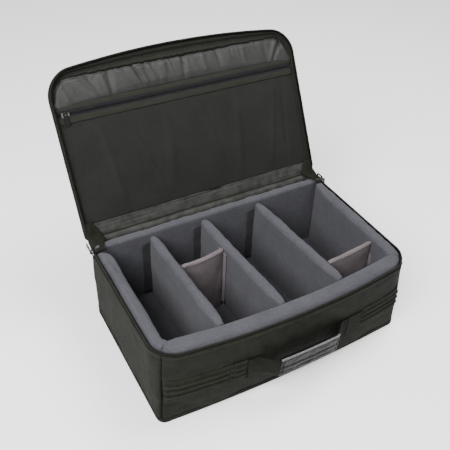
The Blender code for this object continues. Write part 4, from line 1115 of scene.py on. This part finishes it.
def make_lining():
    """The lid's lining, gathered along its top seam, and the binding over its edge."""
    half = HALF_WIDTH - BINDING_INSET
    rows = []
    for x in spread(-half, half, 0.0017):
        top = LID_LENGTH - BINDING_INSET - drawn_back(x, half, LID_RADIUS - BINDING_INSET)
        lengthwise = even(-top, -POCKET_CHAIN, 32) + even(-POCKET_CHAIN, -0.006, 24)[1:]
        rows.append([lid_belly(x, y, lining_level(x, y)) for y in lengthwise])
    made = piece("lid_lining_cloth", rows, LINING, "lid_lining_nylon", "lid", "lid_lining")
    thicken(made, 0.0006)
    make_binding()


def make_binding():
    """The gathered facing from the zip to the lining's seam, with sewn lines and an uneven edge."""
    path = rim_path(LID_RADIUS, -LID_LENGTH, -0.0045, GATHER / 4)
    rows = []
    for station, s in zip(path, distances(path)):
        x, y, in_x, in_y = station
        gather = sin(tau * s / GATHER + 2.0 * waves(s, 0.013, 51))
        stop = seam_inset(x, in_y) + (0.0018 * waves(s, 0.0036, 52) + 0.0010 * waves(s, 0.016, 53))
        fall = BINDING_FALL + BINDING_TOP_FALL * in_y
        row = []
        for share in even(0.0, 1.0, BINDING_STEPS):
            sewn = 0.0016 * two_bumps(share, 0.30, 0.66, 0.045)
            level = BINDING_RISE + fall * share ** 0.8 + sewn + 0.0006 * gather * share
            row.append(at(station, BINDING_START + (stop - BINDING_START) * share, level, lid_belly))
        rows.append(row)
    made = piece("lid_binding_cloth", rows, BINDING, "zip_tape", "lid", "lid_binding")

    def dark(face):
        share = (face.index % BINDING_STEPS + 0.5) / BINDING_STEPS
        return any(start <= share < stop for start, stop in BINDING_DARK)

    second_look(made, TAPE, dark)
    thicken(made, 0.0006)


def lid_strip(name, node, near, far, level, material, slot, thickness, offset=0.0,
              pitches=(0.004, 0.002)):
    """A sheet across the lid between two distances from the hinge."""
    rows = [[in_lid(x, -v, level(x, v)) for v in spread(near, far, pitches[1])]
            for x in spread(-STRIP_HALF, STRIP_HALF, pitches[0])]
    made = piece(name, rows, material, slot, "lid", node)
    thicken(made, thickness, offset)
    return made


def make_pocket():
    """The zipped mesh pocket: hinge flap, net, tapes and coils."""
    def flap_level(x, v):
        share = min((v - 0.004) / (FLAP_END - 0.004), 1.0)
        return POCKET_LEVEL + 0.0006 - 0.0016 * sin(pi * share) + 0.0007 * grain(x / 0.045, v / 0.007, 4.0) \
            - 0.0006 * bump_at(v, FLAP_END - 0.0015, 0.002)

    lid_strip("hinge_flap_cloth", "hinge_flap", 0.0042, FLAP_END, flap_level, FLAP, "shell_fabric",
              0.0014, -1.0)
    end = POCKET_CHAIN - TAPE_FAR

    def net_level(x, v):
        share = clamp((v - FLAP_END) / (end - FLAP_END))
        sag = 0.0022 * sin(pi * share) * (1.0 - (x / STRIP_HALF) ** 2)
        for place, slope, width, size in NET_FOLDS:
            sag += 1.6 * size * bump_at(x - slope * (end - v), place, width) * sin(pi * min(share, 0.999))
        return POCKET_LEVEL + 0.0002 - sag + 0.0012 * grain(x / 0.06, v / 0.09, 8.0) * sin(pi * share)

    lid_strip("pocket_net_cloth", "pocket_mesh", FLAP_END - 0.003, end + 0.002, net_level, NET,
              "pocket_mesh_fabric", 0.0005, pitches=(0.0025, 0.005))
    for name, near, far, seed, dark in (
            ("pocket_tape_lower", end, POCKET_CHAIN - TAPE_NEAR, 1, 0.24),
            ("pocket_tape_upper", POCKET_CHAIN + TAPE_NEAR, POCKET_CHAIN + TAPE_FAR, 2, 0.42)):
        def level(x, v):
            return POCKET_LEVEL - 0.0006 - 0.0007 * sin(pi * ((v - near) / (far - near))) \
                + 0.0005 * grain(x / 0.03, v / 0.006, seed)

        def beside_zip(face):
            share = (face.index % count + 0.5) / count
            return (1.0 - share if seed == 1 else share) < dark

        tape = lid_strip(name + "_cloth", name, near, far, level, POCKET_TAPE, "zip_tape", 0.0009,
                         pitches=(0.004, 0.0013))
        count = len(spread(near, far, 0.0013)) - 1
        second_look(tape, ZIP_CLOTH, beside_zip)
    places = spread(-STRIP_HALF, STRIP_HALF, COIL_PITCH / TURN_STEPS)
    for name, v in (("pocket_coil_lower", POCKET_CHAIN - 0.0017),
                    ("pocket_coil_upper", POCKET_CHAIN + 0.0017)):
        centres = [in_lid(x, -v, POCKET_LEVEL) for x in places]
        rows = coil_rows(centres, [lid_direction(-1.0, 0.0)] * len(centres), lid_direction(0.0, 1.0))
        solid(name + "_turns", rows, COIL, "zip_coil", "lid", name)


def make_hinge_cloth():
    """The fabric that joins the base's back to the lid's back."""
    loop = [(0.1508, 0.144), (0.1510, 0.152), (0.1510, 0.160), (0.1514, 0.1655)]
    loop += [in_lid(0.0, -v, w).yz for v, w in ((0.0004, 0.005), (0.0004, 0.010), (0.0006, 0.0165),
                                                (0.0040, 0.0165), (0.0042, 0.0100), (0.0040, 0.0035))]
    loop += [(0.1505, 0.1692), (0.1478, 0.1672), (0.1462, 0.1625), (0.1460, 0.156), (0.1470, 0.144)]
    reach = HALF_WIDTH - BACK_RADIUS + 0.009
    rows = []
    for x in spread(-reach, reach, PITCH):
        corner = drawn_back(x, HALF_WIDTH, BACK_RADIUS)
        shifts = [0.0006 * grain(x / 0.05, k * 0.15, 2.0) for k in range(len(loop))]
        rows.append([Vector((x, y + shift - corner, z + shift)) for (y, z), shift in zip(loop, shifts)])
    made = solid("hinge_cloth", rows, SHELL, "shell_fabric", None)
    second_look(made, FLAP, lambda face: 7 <= face.index % len(loop) <= 12)
    smooth = made.modifiers.new("smooth", "SUBSURF")
    smooth.levels = 1
    smooth.render_levels = 1
    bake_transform(made)
    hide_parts("hinge_fold", "lid_back_strip")


def make_gusset(side, node):
    """The folded cloth at a back corner, from the rim's end to the lid's side, with a rolled
    inner edge."""
    outer = [(0.2484, 0.1180, 0.1655), (0.2500, 0.1320, 0.1662), (0.2496, 0.1450, 0.1685),
             in_lid(0.2482, -0.012, 0.0032), in_lid(0.2470, -0.032, 0.0042)]
    inner = [(0.2312, 0.1120, 0.1728), (0.2270, 0.1270, 0.1745), (0.2200, 0.1405, 0.1745),
             in_lid(0.2190, -0.006, 0.0040), in_lid(0.2330, -0.034, 0.0086)]
    rows = []
    for run in even(0.0, 1.0, 30):
        place = run * (len(outer) - 1)
        k = min(int(place), len(outer) - 2)
        a, b = (Vector(edge[k]).lerp(Vector(edge[k + 1]), place - k) for edge in (outer, inner))
        row = []
        for t in even(0.0, 1.0, 16):
            point = a.lerp(b, t)
            crease = 0.0026 * sin(tau * (2.3 * run + 0.5 * t)) + 0.0012 * sin(tau * (4.1 * run - 0.9 * t))
            point.z += sin(pi * t) * (crease + 0.0010) + 0.0021 * bump_at(t, 0.88, 0.08)
            point.x *= side
            row.append(point)
        rows.append(row)
    made = piece(node + "_cloth", rows, SHELL, "shell_fabric", None)
    thicken(made, 0.0012)
    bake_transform(made)
    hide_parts(node)


def band_out(z):
    """How far the ribbed band stands from the wall at a height."""
    out = 0.0016
    for i in range(RIDGES):
        crest = BAND_BOTTOM + RIDGE_PITCH * (i + 1)
        side = RIDGE_PITCH * 0.36
        out += RIDGE_HEIGHT * bump_at(z, crest, RIDGE_PITCH * 0.24)
        out -= 0.0004 * two_bumps(z, crest - side, crest + side, RIDGE_PITCH * 0.08)
    return out


def band_rows(stations, extra=0.0, stitch_at=None):
    """Rows of the ribbed band along stations, raised by extra, with a sewn line across it."""
    def section(s, total):
        fade = min(1.0, s / 0.006 + 0.15, (total - s) / 0.006 + 0.15)
        dent = 0.0024 * bump_at(s, stitch_at, 0.0011) if stitch_at is not None else 0.0
        face = [(-(band_out(z) * fade + extra) + dent + 0.0003 * waves(s, 0.02, 4), z)
                for z in spread(BAND_BOTTOM, BAND_TOP, 0.0011)]
        return face + [(-GAP, BAND_TOP), (-GAP, BAND_BOTTOM)]

    return ring_rows(stations, section, belly)


def on_front(x, out, z):
    """A point in front of the front wall."""
    return belly(x, -HALF_DEPTH, z) - Vector((0.0, out, 0.0))


def make_bands():
    """The ribbed bands on the front wall and the handle's anchors."""
    def wall_stretch(start, stop, pitch=PITCH):
        return line((start, -HALF_DEPTH), (stop, -HALF_DEPTH), (0.0, 1.0), pitch)

    edge = HALF_WIDTH - FRONT_RADIUS
    corner = arc(-edge, FRONT_RADIUS - HALF_DEPTH, FRONT_RADIUS, 229, 270, FINE)
    left_end = HANDLE_MIDDLE - HALF_SPAN - ANCHOR - GAP
    right_end = HANDLE_MIDDLE + HALF_SPAN + ANCHOR + GAP
    for node, rows in (
            ("front_band_left", band_rows(joined(corner, wall_stretch(-edge, left_end)))),
            ("front_band_right", band_rows(joined(wall_stretch(right_end, edge), mirrored(corner)))),
            ("handle_anchor_left",
             band_rows(wall_stretch(left_end, left_end + ANCHOR, 0.0007), 0.0010, 0.005))):
        solid(node + "_webbing", rows, BAND, "webbing", "base", node)
    rows = []
    for x in spread(right_end - ANCHOR, right_end, 0.0015):
        across = (x - right_end + ANCHOR) / ANCHOR
        row = []
        for z in spread(BAND_BOTTOM, BAND_TOP, 0.0015):
            up = (z - BAND_BOTTOM) / (BAND_TOP - BAND_BOTTOM)
            inside = 0.10 < up < 0.90 and 0.12 < across < 0.88
            cross = min(abs(across - up), abs(across - 1.0 + up))
            box = min(abs(across - 0.12), abs(across - 0.88), abs(up - 0.10), abs(up - 0.90))
            dent = max(0.0007 * bump_at(cross, 0.0, 0.035) * inside, 0.0008 * bump_at(box, 0.0, 0.030))
            row.append(on_front(x, ANCHOR_THICKNESS + GAP + 0.0004 - dent, z))
        rows.append(row + [on_front(x, GAP, BAND_TOP), on_front(x, GAP, BAND_BOTTOM)])
    solid("handle_anchor_right_webbing", rows, WEBBING, "webbing", "base", "handle_anchor_right")


def strap_place(x, z):
    """The middle of the handle's strap: it leaves the wall, runs clear of it and comes back."""
    away = abs(x - HANDLE_MIDDLE) / HALF_SPAN
    share = clamp((1.0 - away - 0.12) / 0.33)
    return belly(x, -HALF_DEPTH, z).y - 0.0012 - STRAP / 2 - STANDOFF * (share * share * (3.0 - 2.0 * share))


def strap_point(x, out, z):
    """A point off the strap's middle surface, out towards the viewer."""
    run = strap_place(x + GAP, BAND_BOTTOM) - strap_place(x - GAP, BAND_BOTTOM)
    return Vector((x, strap_place(x, z), z)) + Vector((run, -2 * GAP, 0.0)).normalized() * out


def make_strap(name, outer, inner, material, puffed):
    """Half of the webbing strap, which bends out of its anchor and crumples towards the grip."""
    heights = spread(BAND_BOTTOM + 0.001, BAND_TOP - 0.001, 0.002)
    rows = []
    for x in spread(outer, inner, 0.0025):
        run = (x - outer) / (inner - outer)
        front = []
        back = []
        for z in heights:
            height = (z - BAND_BOTTOM) / (BAND_TOP - BAND_BOTTOM)
            edge = 0.0004 * two_bumps(z, BAND_BOTTOM + 0.004, BAND_TOP - 0.004, 0.001)
            wave = 0.00015 * sin((z - BAND_BOTTOM) * 900.0)
            crumple = 0.0036 * grain(x / 0.010, z / 0.016, 6.0) + puffed * sin(pi * height)
            raised = z + GRIP_LIFT * clamp((run - 0.35) / 0.30) * (1.0 - height)
            front.append(strap_point(x, STRAP / 2 - edge + wave + crumple * sin(pi * run), raised))
            back.append(strap_point(x, edge - STRAP / 2, raised))
        rows.append(front + back[::-1])
    made = solid(name, rows, material, "webbing", None)
    start = Vector((outer, strap_place(outer, BAND_TOP), BAND_TOP))
    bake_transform(made)
    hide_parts("handle_strap")


def grip_section(size, sewn):
    """Points (out, height) round the grip: three long pads in front and a flat back."""
    foot = BAND_BOTTOM + GRIP_LIFT
    tall = BAND_TOP - GRIP_LOW - foot
    made = []
    for share in even(0.0, 1.0, 42):
        rounded = round_edge(min(share / 0.07, (1.0 - share) / 0.07, 1.0))
        low_seam = max(place for place in GRIP_SEAMS[:-1] if place <= share)
        high_seam = min(place for place in GRIP_SEAMS[1:] if place > min(share, 0.999))
        pad = abs(sin(pi * (share - low_seam) / (high_seam - low_seam))) ** 0.6
        made.append(((GRIP_HALF * rounded + GRIP_RISE * (pad - 0.55) * rounded - sewn) * size,
                     foot + tall * share))
    for share in even(1.0, 0.0, 12)[1:-1]:
        rounded = round_edge(min(share / 0.07, (1.0 - share) / 0.07, 1.0))
        made.append((-GRIP_HALF * rounded * size, foot + tall * share))
    return made


def make_grip():
    """The leatherette grip: three long pads, sewn across near both ends, and a piped top edge."""
    rows = []
    for x in spread(GRIP_START, GRIP_END, 0.0009):
        size = 0.60 + 0.40 * round_edge(min((x - GRIP_START) / 0.003, (GRIP_END - x) / 0.003, 1.0))
        sewn = 0.0030 * two_bumps(x, GRIP_START + GRIP_SEAM, GRIP_END - GRIP_SEAM, 0.0009)
        row = []
        for out, z in grip_section(size, sewn):
            wave = 0.0009 * grain(x / 0.010, z / 0.008, 5.0) if out > 0 else 0.0
            row.append(strap_point(x, out + wave, z))
        rows.append(row)
    solid("handle_grip_leather", rows, LEATHER, "grip_leatherette", "handle", "handle_grip", fill=0.8,
          sharp=80)
    rows = [[strap_point(x, 0.0030 + PIPING_RADIUS * cos(angle),
                         BAND_TOP - GRIP_LOW - 0.0010 + PIPING_RADIUS * sin(angle)) for angle in turns(14)]
            for x in spread(GRIP_START + 0.0008, GRIP_END - 0.0008, 0.002)]
    solid("grip_edge", rows, PIPING, "grip_leatherette", "handle")


def make_stitches(name, body, slot, stitches, radius):
    """Short threads, each from one point to another, lying on the cloth."""
    ends = ((0.0, 0.35), (0.18, 1.0), (0.82, 1.0), (1.0, 0.35))
    points = []
    faces = []
    ring = range(STITCH_SIDES)
    for start, stop in stitches:
        axis = (stop - start).normalized()
        side = axis.orthogonal().normalized()
        other = axis.cross(side)
        base = len(points)
        for share, size in ends:
            points += [start.lerp(stop, share) + (side * cos(angle) + other * sin(angle)) * radius * size
                       for angle in turns(STITCH_SIDES)]
        for i in range(base, base + 3 * STITCH_SIDES, STITCH_SIDES):
            for k in ring:
                there = (k + 1) % STITCH_SIDES
                faces.append((i + k, i + there, i + STITCH_SIDES + there, i + STITCH_SIDES + k))
        faces.append(tuple(base + k for k in reversed(ring)))
        faces.append(tuple(base + 3 * STITCH_SIDES + k for k in ring))
    piece(name, new_mesh(name, points, faces), THREAD, slot, body)


def run_of(points, length=0.0032, gap=0.0012):
    """Stitches along a chain of points."""
    total = [0.0]
    for a, b in zip(points, points[1:]):
        total.append(total[-1] + (b - a).length)

    def place(s):
        last = len(points) - 2
        i = next((k for k in range(last) if s <= total[k + 1]), last)
        share = (s - total[i]) / max(total[i + 1] - total[i], 1e-9)
        return points[i].lerp(points[i + 1], min(share, 1.0))

    made = []
    start = 0.0
    while start + length < total[-1]:
        made.append((place(start), place(start + length)))
        start += length + gap
    return made


def sew():
    """The sewn lines that show."""
    rim = closed_path(FRONT_RADIUS, BACK_RADIUS, -HALF_DEPTH, HALF_DEPTH)
    base = run_of([at(station, -0.0004, HEM_GROOVE + 0.0030, belly) for station in rim])
    right = HANDLE_MIDDLE + HALF_SPAN
    for line_across in (((0.12, 0.10), (0.88, 0.10)), ((0.88, 0.10), (0.88, 0.90)),
                        ((0.88, 0.90), (0.12, 0.90)), ((0.12, 0.90), (0.12, 0.10)),
                        ((0.12, 0.10), (0.88, 0.90)), ((0.88, 0.10), (0.12, 0.90))):
        base += run_of([on_front(right + ANCHOR * across, ANCHOR_THICKNESS + 0.0002,
                                 BAND_BOTTOM + (BAND_TOP - BAND_BOTTOM) * up) for across, up in line_across])
    make_stitches("base_stitches", "base", "shell_fabric", base, 0.00034)
    lid = []
    for v, level in ((FLAP_END - 0.003, 0.0010), (POCKET_CHAIN - 0.0125, 0.0016),
                     (POCKET_CHAIN + 0.0125, 0.0016), (POCKET_CHAIN - 0.0042, 0.0014),
                     (POCKET_CHAIN + 0.0042, 0.0014)):
        lid += run_of([in_lid(x, -v, POCKET_LEVEL - level) for x in spread(-0.240, 0.240, 0.02)])
    lid += run_of([at(station, -0.0002, LID_WALL_LEVEL + 0.0038, lid_belly)
                   for station in rim_path(LID_RADIUS, -LID_LENGTH, -BACK_RADIUS)])
    make_stitches("lid_stitches", "lid", "shell_fabric", lid, 0.00032)
    foot = BAND_BOTTOM + GRIP_LIFT
    grip = []
    for share in GRIP_SEAMS[1:-1]:
        z = foot + (BAND_TOP - GRIP_LOW - foot) * share
        grip += run_of([strap_point(x, GRIP_HALF - GRIP_RISE * 0.45, z)
                        for x in spread(GRIP_START + 0.006, GRIP_END - 0.006, 0.003)], 0.0030, 0.0010)
    make_stitches("grip_stitches", "handle", "grip_leatherette", grip, 0.00040)


def dress_nodes():
    """The looks of the CAD pieces that stay."""
    for look, nodes in ((METAL, ("zip_slider_left", "zip_slider_right", "pocket_slider")),
                        (PULL, ("zip_pull_left", "zip_pull_right", "pocket_pull"))):
        for node in nodes:
            mesh = frame["nodes"][node].data
            mesh.materials.clear()
            dress(mesh, look, 35)


def make_camera():
    """The camera at the photograph's place."""
    back = Vector((sin(CAMERA_AZIMUTH) * cos(CAMERA_ELEVATION),
                   -cos(CAMERA_AZIMUTH) * cos(CAMERA_ELEVATION), sin(CAMERA_ELEVATION)))
    level = (-back).cross(UP).normalized()
    rise = level.cross(-back)
    right = level * cos(CAMERA_ROLL) + rise * sin(CAMERA_ROLL)
    up = rise * cos(CAMERA_ROLL) - level * sin(CAMERA_ROLL)
    data = bpy.data.cameras.new("camera")
    data.lens = CAMERA_LENS
    made = linked("camera", data)
    made.matrix_world = Matrix.Translation(CAMERA_PLACE) @ Matrix((right, up, back)).transposed().to_4x4()
    bpy.context.scene.camera = made


def area_light(name, place, target, size, power):
    """A soft light that faces a point."""
    data = bpy.data.lights.new(name, "AREA")
    data.shape = "DISK"
    data.size = size
    data.energy = power
    made = linked(name, data)
    made.location = place
    made.rotation_euler = (Vector(target) - Vector(place)).to_track_quat("-Z", "Y").to_euler()


def make_stage():
    """The pale floor, the lights and the sky."""
    size = 12.0
    mesh = bpy.data.meshes.new("floor")
    mesh.from_pydata([(-size, -size, 0), (size, -size, 0), (size, size, 0), (-size, size, 0)], [],
                     [(0, 1, 2, 3)])
    floor = linked("floor", mesh)
    look = Look("pale_floor")
    look.colours(look.noise(2.0), (1.0, 1.0, 1.0), (0.90, 0.92), (0.3, 0.7))
    look.gloss(0.9)
    look.join(WHITE, look.shader.inputs["Emission Color"])
    look.join(0.45, look.shader.inputs["Emission Strength"])
    mesh.materials.append(look.made)
    world = bpy.data.worlds.new("world")
    world.use_nodes = True
    sky = world.node_tree.nodes["Background"]
    sky.inputs["Color"].default_value = WHITE
    sky.inputs["Strength"].default_value = 0.55
    bpy.context.scene.world = world
    middle = (0.0, 0.0, 0.15)
    area_light("key", (-1.5, -0.8, 1.9), middle, 1.6, 115.0)
    area_light("top", (0.8, 0.1, 2.1), middle, 1.3, 45.0)


make_shell()
make_pads()
make_dividers()
swell()
make_zips()
make_lid_shell()
make_lining()
make_pocket()
make_hinge_cloth()
make_gusset(-1, "gusset_left")
make_gusset(1, "gusset_right")
make_bands()
make_strap("handle_strap_left", HANDLE_MIDDLE - HALF_SPAN, GRIP_START + 0.012, WEBBING, 0.0040)
# The right half of the strap takes the darker webbing: painted shade.
make_strap("handle_strap_right", HANDLE_MIDDLE + HALF_SPAN, GRIP_END - 0.012, PAINTED_SHADE_WEBBING, 0.0010)
make_grip()
sew()
dress_nodes()
make_camera()
make_stage()
